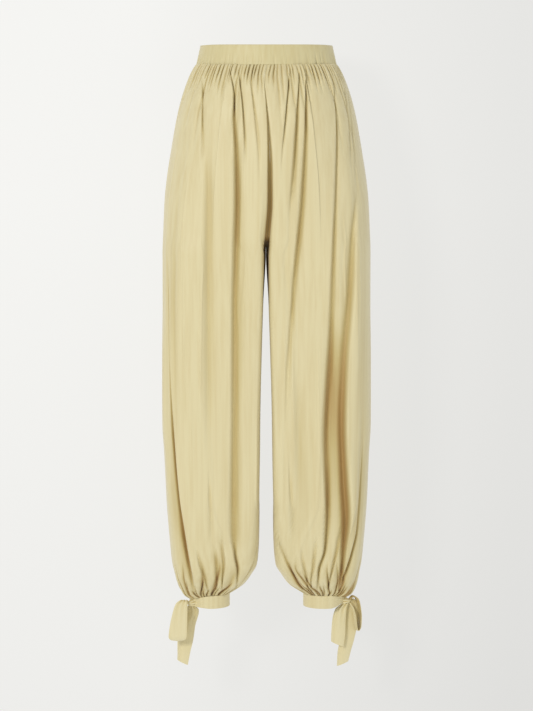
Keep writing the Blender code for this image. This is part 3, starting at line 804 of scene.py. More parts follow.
@dataclass
class Level:
    """One level of a panel while its folds are laid in."""

    z: float
    # Outline without folds, and the distance run at each of its points
    plain: np.ndarray
    lengths: np.ndarray
    # Even places along the outline, and the weighted width up to each
    along: np.ndarray
    width_at: np.ndarray
    # How far the cloth sinks and slides sideways at each place, and how much shade is painted there
    sink: np.ndarray
    slide: np.ndarray
    painted_shade: np.ndarray

    def place_of(self, share: float) -> float:
        """Where a share of the weighted width lies.

        Args:
            share: The share, from the inner edge.

        Returns:
            The place along the outline.
        """
        return float(np.interp(share * self.width_at[-1], self.width_at, self.along))

    def read(self, places: np.ndarray, column: int) -> np.ndarray:
        """One coordinate of the outline.

        Args:
            places: Places along the outline.
            column: 0 across, 1 outward.

        Returns:
            The coordinate at each place.
        """
        return np.interp(places, self.lengths, self.plain[:, column])


@dataclass
class LegPanel:
    """One cut leg panel, gathered at both ends and hung in its folds."""

    leg: Leg
    face: Face
    form: LegForm
    finish: SatinCrepe
    columns: int = 415
    # Depth at which the shade painted in a fold is full
    full_shade_depth: float = 0.016
    wall: float = 0.0004
    seam_gap: float = 0.0003
    # How far from a seam the folds calm down
    edge_calm: float = 0.007
    # How far the cloth is drawn out toward the knot, and how far up
    knot_swell: float = 0.007
    knot_swell_reach: float = 0.060
    # Share of that at the seam, and how soon it is full
    knot_swell_seam: float = 0.75
    knot_swell_rise: float = 0.010
    # How far up the knot's pull lowers the cloth
    knot_drop_reach: float = 0.030
    waist: Gathers = Gathers(
        count=28, jitter=0.26, long_share=0.42, long_reach=(0.080, 0.200),
        short_reach=(0.034, 0.070), depth=(0.0050, 0.0090), long_depth=0.75,
        width=(0.0009, 0.0014), drift=0.12, sway=0.0008, skew=0.5)
    ankle: Gathers = Gathers(
        count=26, jitter=0.32, long_share=0.40, long_reach=(0.055, 0.120),
        short_reach=(0.018, 0.045), depth=(0.0060, 0.0115), long_depth=1.0,
        width=(0.0009, 0.0017), drift=0.25, sway=0.0035, skew=0.6)
    ankle_puffs: int = 8
    soft_folds: int = 18
    ridges: int = 12
    # Sides of a crease: squareness of slot, slope and painted shade, the painted shade's width and
    # strength
    slot_power: float = 2.4
    slope_power: float = 1.5
    shade_power: float = 1.6
    shade_width: float = 1.7
    shade_gain: float = 0.82
    # Raised lip beside a crease: its place and width in half widths, and its height
    lip_place: float = 1.9
    lip_width: float = 1.5
    lip_rise: float = 0.08
    # Pleats: squareness, share of their reach before they fade, share of their depth at
    # the seam, distance over which their width doubles, and how they sway
    pleat_power: float = 1.15
    pleat_hold: float = 0.25
    pleat_start: float = 0.70
    pleat_widening: float = 0.060
    sway_length: float = 0.011
    sway_phase: float = 40.0
    # How soon a soft fold fades toward its ends
    fold_ends: float = 1.2
    # How a sunk place leans: its least outward share, and the span its slope is read on
    least_lean: float = 0.35
    side_lean: float = 0.5
    slope_span: float = 0.005
    # Share of the folds' depth that counts when columns are spread
    fold_weight: float = 0.35
    # Painted shade in the trough between the legs: its strength, how soon it ends beside the seam and
    # below the crotch
    trough_painted_shade: float = 0.6
    trough_edge: float = 0.004
    trough_fade: float = 0.30
    flat_width: float = 0.355
    flat_length: float = 1.085
    seed: int = 0

    # Share of its depth that counts when columns are spread over the inner half
    depth_weights: tuple = ((-0.0366, 0.12), (-0.8600, 0.12), (-1.0000, 0.90),
                            (-1.0613, 0.90))
    # Spacing of the rows: (level, step) with a straight change between levels
    steps: tuple = ((-0.0366, 0.0012), (-0.0600, 0.0028), (-0.1000, 0.0060),
                    (-0.2000, 0.0170), (-0.2700, 0.0170), (-0.3250, 0.0130),
                    (-0.3450, 0.0070), (-0.4000, 0.0070), (-0.4300, 0.0180),
                    (-0.8200, 0.0180), (-0.9500, 0.0075), (-1.0300, 0.0028),
                    (-1.0613, 0.0014))

    @property
    def name(self) -> str:
        """Node that this panel dresses."""
        return f"{self.face.word}_leg_{self.leg.word}"

    def levels(self) -> np.ndarray:
        """Levels of the rows, close together at the gathered ends.

        Returns:
            Levels from the waist seam to the ankle seam.
        """
        keys, sizes = zip(*self.steps[::-1])
        z = self.form.top_z
        rows = [z]
        while z > self.form.foot_z:
            z -= float(np.interp(z, keys, sizes))
            rows.append(z)
        rows = np.array(rows)
        share = (rows - rows[0]) / (rows[-1] - rows[0])
        return self.form.top_z + share * (self.form.foot_z - self.form.top_z)

    def scatter(self) -> tuple[list[Gather], list[Gather], list[SoftFold]]:
        """Uneven gathers at both seams and soft folds between, from a fixed seed.

        Returns:
            Waist gathers, ankle gathers and soft folds.
        """
        rng = np.random.default_rng(self.seed)
        waist = self.waist.draw(rng)
        ankle = self.ankle.draw(rng)
        for _ in range(self.ankle_puffs):
            ankle.append(Gather(
                share=rng.uniform(0.06, 0.94), depth=rng.uniform(0.0030, 0.0055),
                reach=rng.uniform(0.070, 0.140), width=rng.uniform(0.0030, 0.0060),
                drift=rng.uniform(-0.30, 0.30), sway=rng.uniform(-0.003, 0.003),
                skew=rng.uniform(-0.6, 0.6)))
        soft = []
        for _ in range(self.ridges):
            top = rng.uniform(-0.70, -0.09)
            soft.append(SoftFold(
                share=rng.uniform(0.05, 0.95), top=top, foot=top - rng.uniform(0.15, 0.45),
                depth=-rng.uniform(0.0007, 0.0015), width=rng.uniform(0.0014, 0.0028),
                drift=rng.uniform(-0.02, 0.02), skew=0.0))
        for _ in range(self.soft_folds):
            top = rng.uniform(-0.80, -0.06)
            soft.append(SoftFold(
                share=rng.uniform(0.05, 0.95), top=top, foot=top - rng.uniform(0.25, 0.65),
                depth=rng.uniform(0.0020, 0.0050) * rng.choice([-0.7, 1.0]),
                width=rng.uniform(0.006, 0.017), drift=rng.uniform(-0.03, 0.03),
                skew=rng.uniform(-0.75, 0.75)))
        return waist, ankle, soft

    def start(self, z: float) -> Level:
        """A level with no folds in it yet.

        Args:
            z: The level.

        Returns:
            The level's outline and its weighted width.
        """
        plain = self.form.outline(z, self.face)
        lengths = running(np.linalg.norm(np.diff(plain, axis=0), axis=1))
        along = np.linspace(0.0, lengths[-1], self.form.samples)
        across = np.interp(along, lengths, plain[:, 0])
        outward = np.interp(along, lengths, plain[:, 1])
        weight = np.where(across < 0.5 * across[-1], read_table(self.depth_weights, z),
                          self.depth_weights[-1][1])
        width_at = running(np.hypot(np.diff(across), weight[1:] * np.diff(outward)))
        return Level(z, plain, lengths, along, width_at, np.zeros_like(along),
                     np.zeros_like(along), np.zeros_like(along))

    def lay_creases(self, level: Level) -> None:
        """Sink the main creases into a level, and paint shade into them.

        Args:
            level: The level.
        """
        for crease in CREASES:
            if crease.leg is not self.leg or crease.face is not self.face:
                continue
            if not crease.path[-1][1] < level.z < crease.path[0][1]:
                continue
            line, deep, sharp = (read_table(crease.path, level.z, column, key=1)
                                 for column in (0, 2, 3))
            most = max(point[2] for point in crease.path)
            middle = float(np.interp(line, level.plain[:, 0], level.lengths))
            away = (level.along - middle) * crease.lip.value
            slot = bell(away, sharp, self.slot_power)
            slope = np.where(away > 0.0, slot,
                             bell(away, sharp + crease.soft, self.slope_power))
            level.sink += deep * ((1.0 - crease.ease) * slot + crease.ease * slope)
            shaded = bell(away, self.shade_width * sharp, self.shade_power)
            level.painted_shade += self.shade_gain * deep * np.where(away > 0.0, slot, shaded)
            lip = bell(away - self.lip_place * sharp, self.lip_width * sharp)
            level.sink -= self.lip_rise * deep * lip
            level.slide -= crease.lap * (deep / most) * lip * crease.lip.value

    def lay_gathers(self, level: Level, gathers: list[Gather], distance: float, rise: float,
                    pleat_shade: float) -> None:
        """Sink the pleats of one seam into a level, and paint shade into them.

        Args:
            level: The level.
            gathers: The pleats.
            distance: How far the level is from the seam.
            rise: How far from the seam the pleats reach their full depth.
            pleat_shade: How strongly they darken the cloth.
        """
        for gather in gathers:
            fade = 1.0 - smooth_step((distance - self.pleat_hold * gather.reach)
                                     / ((1.0 - self.pleat_hold) * gather.reach))
            if fade <= 0.0:
                continue
            grow = self.pleat_start + (1.0 - self.pleat_start) * smooth_step(distance / rise)
            middle = level.place_of(gather.share + gather.drift * distance)
            middle += gather.sway * math.sin(distance / self.sway_length
                                             + self.sway_phase * gather.share)
            away = level.along - middle
            width = gather.width * (1.0 + distance / self.pleat_widening)
            width = width * (1.0 + gather.skew * np.sign(away))
            pleat = gather.depth * grow * fade * bell(away, width, self.pleat_power)
            level.sink += pleat
            level.painted_shade += pleat_shade * pleat

    def lay_soft_folds(self, level: Level, folds: list[SoftFold]) -> None:
        """Sink the long soft folds into a level, and paint shade into their valleys.

        Args:
            level: The level.
            folds: The folds.
        """
        for fold in folds:
            if not fold.foot < level.z < fold.top:
                continue
            part = (fold.top - level.z) / (fold.top - fold.foot)
            fade = math.sin(math.pi * part) ** self.fold_ends
            away = level.along - level.place_of(fold.share + fold.drift * (part - 0.5))
            wave = fold.depth * fade * bell(away, fold.width * (1.0 + fold.skew * np.sign(away)))
            level.sink += wave
            level.painted_shade += np.maximum(wave, 0.0)

    def row(self, z: float, waist: list[Gather], ankle: list[Gather],
            soft: list[SoftFold]) -> np.ndarray:
        """Points of one level, from the centre or inseam edge to the side seam.

        Args:
            z: The level.
            waist: Gathers at the waist seam.
            ankle: Gathers at the ankle seam.
            soft: Soft folds between.

        Returns:
            For each column a point and the shade painted on it in the folds.
        """
        level = self.start(z)
        self.lay_creases(level)
        self.lay_gathers(level, waist, self.form.top_z - z, rise=0.010, pleat_shade=1.0)
        self.lay_gathers(level, ankle, z - self.form.foot_z, rise=0.008, pleat_shade=1.5)
        self.lay_soft_folds(level, soft)
        calm = smooth_step(level.along / self.edge_calm)
        calm = calm * smooth_step((level.lengths[-1] - level.along) / self.edge_calm)
        sink = level.sink * calm
        moved = level.along + level.slide * calm
        across = level.read(moved, 0)
        outward = level.read(moved, 1)
        slope = np.stack([level.read(moved + self.slope_span, column)
                          - level.read(moved - self.slope_span, column)
                          for column in (0, 1)], axis=1)
        slope /= np.linalg.norm(slope, axis=1)[:, None]
        x = across + self.side_lean * sink * slope[:, 1]
        y = outward - sink * np.maximum(slope[:, 0], self.least_lean)
        run = level.width_at + self.fold_weight * running(np.abs(np.diff(sink)))
        spread = np.linspace(0.0, run[-1], self.columns + 1)
        # Painted shade in the trough between the legs, fading below the crotch and beside the seam;
        # each place takes the darker of it and the folds' painted shade
        joined = smooth_step((z - self.form.crotch_z + self.trough_fade) / self.trough_fade)
        trough = self.trough_painted_shade * (outward.max() - outward) * joined
        edge = level.plain[self.form.floor_points, 0] + self.trough_edge
        trough = trough * (1.0 - smooth_step((across - edge) / self.trough_edge))
        painted_shade = np.maximum(level.painted_shade * calm, trough)
        fold = smooth_step(np.interp(spread, run, painted_shade) / self.full_shade_depth)
        x = np.maximum(np.interp(spread, run, x), self.seam_gap / 2.0)
        y = np.maximum(np.interp(spread, run, y), self.seam_gap / 2.0)
        x = self.leg.value * x + read_table(self.form.wander, z) * bell(x, self.form.wander_reach)
        return self.drawn_to_knot(x, self.face.value * y, z, fold)

    def drawn_to_knot(self, x: np.ndarray, y: np.ndarray, z: float,
                      fold: np.ndarray) -> np.ndarray:
        """Draw the cloth of one level toward the knot, near the ankle.

        Args:
            x: Places across.
            y: Places from front to back.
            z: The level.
            fold: Shade painted in the folds, kept as it is.

        Returns:
            For each column a point and the shade painted on it in the folds.
        """
        around = np.degrees(np.arctan2(y, x - self.leg.value * ANKLE_X))
        pull = knot_pull(around, KNOT_ANGLES[self.leg])
        above = z - self.form.foot_z
        swell = self.knot_swell * pull ** 2 * (1.0 - smooth_step(above / self.knot_swell_reach))
        swell = swell * (self.knot_swell_seam + (1.0 - self.knot_swell_seam)
                         * smooth_step(above / self.knot_swell_rise))
        x = x + swell * np.cos(np.radians(around))
        y = y + swell * np.sin(np.radians(around))
        near_foot = 1.0 - smooth_step(above / self.knot_drop_reach)
        height = z - KNOT_PULLS[self.leg][0] * pull * near_foot
        return np.stack([x, y, height, fold], axis=1)

    def build(self) -> bpy.types.Object:
        """Build the panel and declare its cut.

        Returns:
            The finished piece.
        """
        waist, ankle, soft = self.scatter()
        grid = np.stack([self.row(z, waist, ankle, soft) for z in self.levels()])
        piece = shell(f"cloth_{self.name}", grid, self.wall, self.finish,
                      outward=(0.0, self.face.value, 0.0))
        declare(piece, self.name)
        log.info("%s: %d rows, %d triangles", self.name, len(grid),
                 4 * self.columns * (len(grid) - 1))
        return piece


@dataclass
class Band:
    """A strip of double cloth sewn round an opening, plain or softly puckered."""

    node: str
    finish: SatinCrepe
    centre: Point
    # Half sizes of its top and low edges, to the side and to the front
    top: tuple[float, float]
    low: tuple[float, float]
    height: float
    wall: float
    puckers: int
    pucker_depth: float
    # Half widths of the puckers in radians, and depth of the wider swells between them
    pucker_width: tuple[float, float] = (0.008, 0.020)
    swells: float = 0.3
    side_dip: float = 0.0
    segments: int = 360
    rows: int = 22
    seed: int = 0
    knot: float | None = None
    pulls: tuple[float, float] = (0.0, 0.0)
    # Pleats beside the knot: depth, number, and how far they wave round the band
    pleat_depth: float = 0.0011
    pleats: float = 5.0
    pleat_wave: float = 0.12
    # How far the ends of the band reach out into the knot
    knot_reach: float = 0.0055

    def section(self) -> list[tuple[float, float]]:
        """Section of the strip, from the inner top corner over the outside.

        Returns:
            Points as (share of the height, distance inside the outer face).
        """
        wall = self.wall
        points = [(0.0, wall), (0.0, 0.65 * wall), (0.0, 0.30 * wall), (0.004, 0.10 * wall)]
        points += [(0.015 + 0.975 * share, 0.0) for share in np.linspace(0.0, 1.0, self.rows)]
        points += [(1.0, 0.03 * wall), (1.0, 0.30 * wall), (1.0, wall), (0.66, wall),
                   (0.33, wall)]
        return points

    def build(self) -> bpy.types.Object:
        """Build the strip as a closed ring and declare its cut.

        Returns:
            The finished piece.
        """
        rng = np.random.default_rng(self.seed)
        turn = np.linspace(0.0, 2.0 * math.pi, self.segments, endpoint=False)
        wave = np.zeros_like(turn)
        swell = np.zeros_like(turn)
        for _ in range(self.puckers):
            at = rng.uniform(0.0, 2.0 * math.pi)
            away = np.angle(np.exp(1j * (turn - at)))
            width = rng.uniform(*self.pucker_width)
            wave += rng.uniform(0.4, 1.0) * bell(away, width)
            swell += rng.uniform(-0.5, 0.5) * bell(away, 3.0 * width)
        pull = np.zeros_like(turn)
        if self.knot is not None:
            pull = knot_pull(np.degrees(turn), self.knot)
        rings = []
        for share, inset in self.section():
            half_x = self.top[0] + (self.low[0] - self.top[0]) * share
            half_y = self.top[1] + (self.low[1] - self.top[1]) * share
            depth = inset
            if inset < self.wall:
                pucker = self.pucker_depth * smooth_step((share - 0.25) / 0.6)
                depth = depth + pucker * wave + self.swells * self.pucker_depth * swell
                pleats = np.cos(self.pleats * math.pi * (share + self.pleat_wave * np.sin(3.0 * turn)))
                depth = depth + self.pleat_depth * pull * (1.0 + pleats)
            dip = self.side_dip * np.abs(np.cos(turn)) ** 8 * (1.0 - share)
            dip = dip + pull * (self.pulls[0] * (1.0 - share) - self.pulls[1] * share)
            depth = depth - self.knot_reach * pull ** 3
            rings.append(np.stack([
                self.centre[0] + (half_x - depth) * np.cos(turn),
                self.centre[1] + (half_y - depth) * np.sin(turn),
                self.centre[2] - self.height * share - dip], axis=1))
        piece = ring_solid(f"cloth_{self.node}", rings, self.finish)
        declare(piece, self.node)
        log.info("%s: ring of %d", self.node, self.segments)
        return piece


class Bend(NamedTuple):
    """One station of a tie: its middle beside the knot's centre, width and turn."""

    outward: float
    forward: float
    up: float
    width: float
    turn: float


@dataclass
class Tie:
    """One length of tie: a soft double strip that follows its stations."""

    node: str
    leg: Leg
    finish: SatinCrepe
    knot: Point
    bends: tuple
    rows: int = 120
    columns: int = 36
    wall: float = 0.0010
    # How far its middle bulges
    camber: float = 0.0026
    # Pleats beside the knot: depth, reach, how many, their place and the shade painted between them
    pleat: float = 0.0016
    pleat_reach: float = 0.022
    pleats: float = 2.6
    pleat_phase: float = 0.7
    pleat_painted_shade: float = 0.55
    # Turned edge: how far, from which share of the width, and its squareness
    curl: float = 0.0
    curl_start: float = 0.45
    curl_power: float = 1.5
    # Shade painted at the knot, which fades to none at the end
    shade: float = 0.0
    # Slanted cut at the free end: its rise, how uneven it is and how far up it reaches
    slant: float = 0.0
    slant_low: float = -0.6
    slant_reach: float = 0.02
    looped: bool = False

    def build(self) -> bpy.types.Object:
        """Build the strip and declare its cut.

        Returns:
            The finished piece.
        """
        table = np.array([tuple(bend) for bend in self.bends])
        keys = running(np.linalg.norm(np.diff(table[:, :3], axis=0), axis=1))
        length = float(keys[-1])
        at = np.linspace(0.0, length, self.rows + 1)
        line = np.stack([smooth_table(at, keys, column) for column in table.T], axis=1)
        centres = np.stack([self.knot[0] + self.leg.value * line[:, 0],
                            self.knot[1] - line[:, 1], self.knot[2] + line[:, 2]], axis=1)
        tangents = np.gradient(centres, axis=0)
        grid = np.zeros((self.rows + 1, self.columns + 1, 4))
        share = np.linspace(-1.0, 1.0, self.columns + 1)
        ripple = np.cos(self.pleats * math.pi * share + self.pleat_phase)
        curl = self.curl * np.clip(-share - self.curl_start, 0.0, 1.0) ** self.curl_power
        lift = self.slant * np.linspace(1.0, self.slant_low, self.columns + 1)
        for i in range(self.rows + 1):
            turn = math.radians(line[i, 4])
            across = np.array([math.cos(turn), math.sin(turn), 0.0])
            normal = np.cross(tangents[i], across)
            normal /= np.linalg.norm(normal)
            from_knot = min(at[i], length - at[i]) if self.looped else at[i]
            gathered = math.exp(-from_knot / self.pleat_reach)
            bow = (self.camber * (1.0 - gathered) * (1.0 - share * share)
                   + self.pleat * gathered * ripple - curl)
            grid[i, :, :3] = (centres[i] + np.outer(share, across) * line[i, 3] / 2.0
                              + np.outer(bow, normal))
            # Painted shade between the pleats near the knot, and painted shade fading from the knot to
            # the free end
            pleat_hollow_shade = self.pleat_painted_shade * gathered * np.clip(0.5 - 0.5 * ripple, 0.0, 1.0)
            grid[i, :, 3] = np.maximum(pleat_hollow_shade, self.shade * (1.0 - at[i] / length))
            grid[i, :, 2] += lift * smooth_step((at[i] - length) / self.slant_reach + 1.0)
        piece = shell(f"cloth_{self.node}", grid, self.wall, self.finish,
                      outward=(0.0, -1.0, 0.0))
        declare(piece, self.node)
        log.info("%s: %.0f mm long", self.node, length * 1000.0)
        return piece


@dataclass
class Knot:
    """Small knot wrapped by one turn of the tie."""

    leg: Leg
    finish: SatinCrepe
    centre: Point
    angle: float
    half_depth: float = 0.0098
    half_width: float = 0.0078
    half_height: float = 0.0070
    # How far it sits into the band
    seat: float = 0.0026
    # How much slimmer it is outside, and its pleats: number, twist, depth and the shade painted
    # between them
    taper: float = 0.24
    pleats: float = 7.0
    twist: float = 1.5
    pleat_depth: float = 0.09
    pleat_painted_shade: float = 0.80
    cut: tuple[float, float] = (0.018, 0.028)

    def build(self) -> bpy.types.Object:
        """Build the knot and declare its cut.

        Returns:
            The finished piece.
        """
        turn = math.radians(self.angle)
        body = bmesh.new()
        bmesh.ops.create_uvsphere(body, u_segments=64, v_segments=40, radius=1.0)
        folds = body.verts.layers.float.new(FOLD_SHADE_LAYER)
        for vert in body.verts:
            unit = vert.co.normalized()
            ripple = math.cos(self.pleats * math.atan2(unit.z, unit.y) + self.twist * unit.x)
            thin = 1.0 - unit.x * unit.x
            girth = (1.0 - self.taper * unit.x) * (1.0 + self.pleat_depth * ripple * thin)
            out = unit.x * self.half_depth - self.seat
            side = unit.y * self.half_width * girth
            vert.co = (self.centre[0] + out * math.cos(turn) - side * math.sin(turn),
                       self.centre[1] + out * math.sin(turn) + side * math.cos(turn),
                       self.centre[2] + unit.z * self.half_height * girth)
            # Painted shade in the hollows between the knot's pleats
            vert[folds] = self.pleat_painted_shade * thin * max(0.0, -ripple)
        node = f"knot_{self.leg.word}"
        piece = place(body, f"cloth_{node}", material_of(self.finish))
        declare(piece, node)
        log.info("%s", node)
        return piece


@dataclass
class Bow:
    """The tied ends of one ankle band."""

    leg: Leg
    finish: SatinCrepe
    # Distance from the band to the knot's centre, and the knot's level
    seat: float = 0.0070
    z: float = -1.0765
    loop_camber: float = 0.0012
    curl: float = 0.010
    # Slant of the cut ends: (place, rise)
    slants: tuple = (("front", 0.006), ("rear", -0.006))

    # How much shade is painted on each tie at the knot
    loop_shades = {Leg.RIGHT: 0.0, Leg.LEFT: 0.7}
    tail_shades = {("front", Leg.RIGHT): 0.30, ("rear", Leg.RIGHT): 0.30,
                   ("front", Leg.LEFT): 0.0, ("rear", Leg.LEFT): 0.30}
    loops = {
        Leg.RIGHT: (
            Bend(0.0070, 0.005, 0.0030, 0.009, 0.0), Bend(0.0120, 0.010, 0.0075, 0.014, 0.0),
            Bend(0.0160, 0.015, 0.0040, 0.021, 0.0), Bend(0.0205, 0.017, -0.0180, 0.029, 0.0),
            Bend(0.0240, 0.016, -0.0480, 0.034, 0.0), Bend(0.0252, 0.0145, -0.0630, 0.035, 0.0),
            Bend(0.0255, 0.012, -0.0690, 0.031, 0.0), Bend(0.0255, 0.007, -0.0725, 0.021, 0.0),
            Bend(0.0255, 0.002, -0.0690, 0.030, 0.0), Bend(0.0250, 0.000, -0.0610, 0.033, 0.0),
            Bend(0.0225, -0.002, -0.0400, 0.028, 0.0), Bend(0.0185, -0.002, -0.0140, 0.019, 0.0),
            Bend(0.0113, -0.001, -0.0030, 0.008, 0.0),
        ),
        Leg.LEFT: (
            Bend(0.0060, 0.000, 0.0030, 0.009, 100.0), Bend(0.0115, 0.000, 0.0085, 0.014, 102.0),
            Bend(0.0180, 0.002, 0.0060, 0.020, 106.0), Bend(0.0220, 0.003, -0.0080, 0.023, 108.0),
            Bend(0.0240, 0.003, -0.0300, 0.024, 109.0), Bend(0.0235, 0.003, -0.0470, 0.023, 109.0),
            Bend(0.0205, 0.003, -0.0560, 0.018, 109.0), Bend(0.0170, 0.003, -0.0500, 0.023, 109.0),
            Bend(0.0150, 0.003, -0.0300, 0.023, 108.0), Bend(0.0115, 0.002, -0.0110, 0.016, 104.0),
            Bend(0.0065, 0.001, -0.0030, 0.009, 100.0),
        ),
    }
    tails = {
        ("front", Leg.RIGHT): (
            Bend(-0.003, -0.001, -0.0070, 0.012, 0.0), Bend(-0.005, -0.006, -0.0150, 0.021, 4.0),
            Bend(0.004, -0.014, -0.0480, 0.025, 6.0), Bend(0.009, -0.018, -0.0780, 0.026, -4.0),
            Bend(0.014, -0.017, -0.1010, 0.025, -6.0), Bend(0.017, -0.016, -0.1230, 0.021, -4.0),
        ),
        ("rear", Leg.RIGHT): (
            Bend(0.001, -0.0042, -0.0083, 0.008, 8.0), Bend(0.002, -0.014, -0.0190, 0.017, 8.0),
            Bend(0.009, -0.024, -0.0480, 0.024, 8.0), Bend(0.014, -0.027, -0.0800, 0.025, 2.0),
            Bend(0.016, -0.025, -0.1080, 0.022, 0.0),
        ),
        ("front", Leg.LEFT): (
            Bend(-0.0035, 0.0050, -0.0040, 0.014, 0.0), Bend(-0.0110, 0.0080, -0.0140, 0.022, 4.0),
            Bend(-0.0150, 0.0100, -0.0360, 0.026, 8.0), Bend(-0.0165, 0.0105, -0.0620, 0.027, 4.0),
            Bend(-0.0185, 0.0100, -0.0850, 0.024, 0.0),
        ),
        ("rear", Leg.LEFT): (
            Bend(0.0062, 0.000, 0.0046, 0.013, 0.0), Bend(0.0108, -0.001, -0.0050, 0.023, -2.0),
            Bend(0.0100, -0.0015, -0.0220, 0.026, -4.0), Bend(0.0072, -0.002, -0.0440, 0.028, -4.0),
            Bend(0.0010, -0.002, -0.0780, 0.027, 4.0),
            Bend(-0.0045, -0.002, -0.1020, 0.025, 8.0), Bend(-0.0075, -0.001, -0.1240, 0.022, 6.0),
        ),
    }

    def build(self) -> None:
        """Build the knot, the loop and both ends."""
        angle = KNOT_ANGLES[self.leg]
        turn = math.radians(angle)
        reach = ANKLE_RADIUS + self.seat
        knot = (self.leg.value * ANKLE_X + reach * math.cos(turn), reach * math.sin(turn), self.z)
        Knot(self.leg, self.finish, knot, angle).build()
        Tie(f"loop_{self.leg.word}", self.leg, self.finish, knot, self.loops[self.leg],
            camber=self.loop_camber, looped=True, shade=self.loop_shades[self.leg]).build()
        for end, slant in self.slants:
            Tie(f"tail_{end}_{self.leg.word}", self.leg, self.finish, knot,
                self.tails[(end, self.leg)], slant=slant, curl=self.curl,
                shade=self.tail_shades[(end, self.leg)]).build()


class Light(NamedTuple):
    """One soft square light: its place, side, power in watts and colour."""

    name: str
    spot: Point
    size: float
    power: float
    colour: Colour


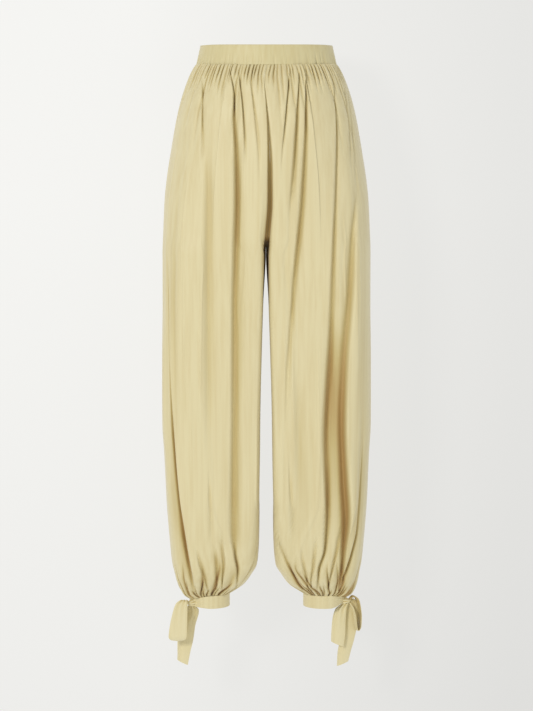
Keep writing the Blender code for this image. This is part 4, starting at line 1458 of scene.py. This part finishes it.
@dataclass
class Studio:
    """Pale cove, soft lights and the camera at the photo's angle."""

    wall_y: float = 0.165
    floor_z: float = -1.50
    half_width: float = 5.0
    wall_top: float = 3.0
    floor_front: float = -7.0
    bend: float = 0.25
    bend_steps: int = 12
    pitch: float = 6.80
    distance: float = 5.0
    lens: float = 132.1
    # Paper colour kept dark so cast shadows stay faint; its paleness comes from its painted glow, in
    # the glow colour
    colour: Colour = (0.10, 0.0985, 0.095)
    glow: Colour = (0.995, 0.995, 0.975)
    # How strongly the paper's painted glow shines, falling off like light: (place, glow) from left to
    # right, and low to high
    glow_across: tuple = ((-0.25, 0.820), (0.50, 0.705))
    glow_upward: tuple = ((-1.35, 0.925), (-0.30, 1.0))
    lights: tuple = (Light("key", (-2.4, -4.2, 1.2), 1.2, 98.0, (1.0, 0.985, 0.965)),
                     Light("fill", (3.2, -3.6, -0.4), 3.0, 46.0, (0.98, 0.99, 1.0)))
    lights_aim: Point = (0.0, 0.0, -0.60)
    air: Colour = (1.0, 0.975, 0.93)
    air_strength: float = 0.42

    def paper(self) -> bpy.types.Material:
        """Pale paper whose painted glow fades a little to the right and below.

        Returns:
            The material, clear from behind.
        """
        made = Shading("cove_glowing_paper")
        shader = made.shader
        made.fill(shader, {"Base Color": (*self.colour, 1.0), "Roughness": 0.95,
                           "Specular IOR Level": 0.0, "Emission Color": (*self.glow, 1.0)})
        where = made.add("TexCoord")
        split = made.add("SeparateXYZ")
        made.join(where, "Object", split, "Vector")
        both = made.add("Math")
        both.operation = "MULTIPLY"
        for socket, (axis, ends) in enumerate((("X", self.glow_across), ("Z", self.glow_upward))):
            (start, first), (stop, last) = ends
            change = made.add("MapRange", {"From Min": start, "From Max": stop,
                                           "To Min": first, "To Max": last})
            made.join(split, axis, change, "Value")
            made.join(change, "Result", both, socket)
        made.join(both, "Value", shader, "Emission Strength")
        clear = made.add("BsdfTransparent")
        side = made.add("NewGeometry")
        mix = made.add("MixShader")
        made.join(side, "Backfacing", mix, "Fac")
        made.join(shader, "BSDF", mix, 1)
        made.join(clear, "BSDF", mix, 2)
        made.join(mix, "Shader", made.nodes["Material Output"], "Surface")
        return made.material

    def cove(self) -> None:
        """Floor and wall in one sweep, seen from its front side only."""
        profile = [(self.floor_front, self.floor_z)]
        for i in range(self.bend_steps + 1):
            turn = math.pi / 2.0 * i / self.bend_steps
            profile.append((self.wall_y - self.bend + self.bend * math.sin(turn),
                            self.floor_z + self.bend - self.bend * math.cos(turn)))
        profile.append((self.wall_y, self.wall_top))
        body = bmesh.new()
        bmesh.ops.create_grid(body, x_segments=1, y_segments=len(profile) - 1, size=0.5)
        for vert in body.verts:
            i = round((vert.co.y + 0.5) * (len(profile) - 1))
            side = self.half_width if vert.co.x > 0.0 else -self.half_width
            vert.co = (side, *profile[i])
        body.normal_update()
        body.faces.ensure_lookup_table()
        if body.faces[0].normal.z < 0.0:
            bmesh.ops.reverse_faces(body, faces=body.faces[:])
        place(body, "cove", self.paper())

    def shine(self, light: Light) -> None:
        """Put up one light, aimed at the middle of the garment.

        Args:
            light: The light.
        """
        lamp = bpy.data.lights.new(light.name, "AREA")
        lamp.shape = "SQUARE"
        lamp.size = light.size
        lamp.energy = light.power
        lamp.color = light.colour
        holder = bpy.data.objects.new(light.name, lamp)
        holder.location = light.spot
        toward = Vector(self.lights_aim) - Vector(light.spot)
        holder.rotation_euler = toward.to_track_quat("-Z", "Y").to_euler()
        bpy.context.scene.collection.objects.link(holder)

    def build(self) -> None:
        """Put up the cove, the lights, the world and the camera."""
        self.cove()
        for light in self.lights:
            self.shine(light)
        scene = bpy.context.scene
        world = bpy.data.worlds.new("studio")
        world.use_nodes = True
        back = world.node_tree.nodes["Background"]
        back.inputs["Color"].default_value = (*self.air, 1.0)
        back.inputs["Strength"].default_value = self.air_strength
        scene.world = world
        lens = bpy.data.cameras.new("camera")
        lens.lens = self.lens
        camera = bpy.data.objects.new("camera", lens)
        camera.location = (0.0, -self.distance, 0.0)
        camera.rotation_euler = (math.radians(90.0 - self.pitch), 0.0, 0.0)
        scene.collection.objects.link(camera)
        scene.camera = camera
        scene.view_settings.view_transform = "Standard"
        scene.view_settings.look = "None"
        scene.view_settings.exposure = 0.0
        log.info("studio ready")


def main() -> None:
    """Build every cloth piece, then the studio."""
    cloth = SatinCrepe("satin_crepe")
    tie_cloth = SatinCrepe("satin_tie", colour=(0.775, 0.695, 0.43),
                           shade=(0.745, 0.66, 0.39), streak_height=0.00012)
    band_cloth = SatinCrepe("satin_band", colour=(0.690, 0.617, 0.350),
                            shade=(0.650, 0.563, 0.298))
    form = LegForm()
    Band("waistband", band_cloth, centre=(0.0, 0.0, 0.0), top=WAIST_TOP, low=WAIST_LOW,
         height=WAIST_HEIGHT, wall=0.0024, puckers=220, pucker_depth=0.0008, side_dip=0.0022,
         segments=720, seed=3).build()
    ankle = (ANKLE_RADIUS, ANKLE_RADIUS)
    for leg in Leg:
        for face in Face:
            seed = 11 + 2 * leg.value + 5 * face.value
            LegPanel(leg, face, form, cloth, seed=seed).build()
        Band(f"ankle_band_{leg.word}", cloth, centre=(leg.value * ANKLE_X, 0.0, ANKLE_TOP),
             top=ankle, low=ankle, height=ANKLE_HEIGHT, wall=0.0020, puckers=40,
             pucker_depth=0.0003, seed=5 + leg.value, knot=KNOT_ANGLES[leg],
             pulls=KNOT_PULLS[leg]).build()
        Bow(leg, tie_cloth).build()
    Studio().build()


if __name__ == "__main__":
    logging.basicConfig(level=logging.INFO, format="%(name)s: %(message)s")
    main()
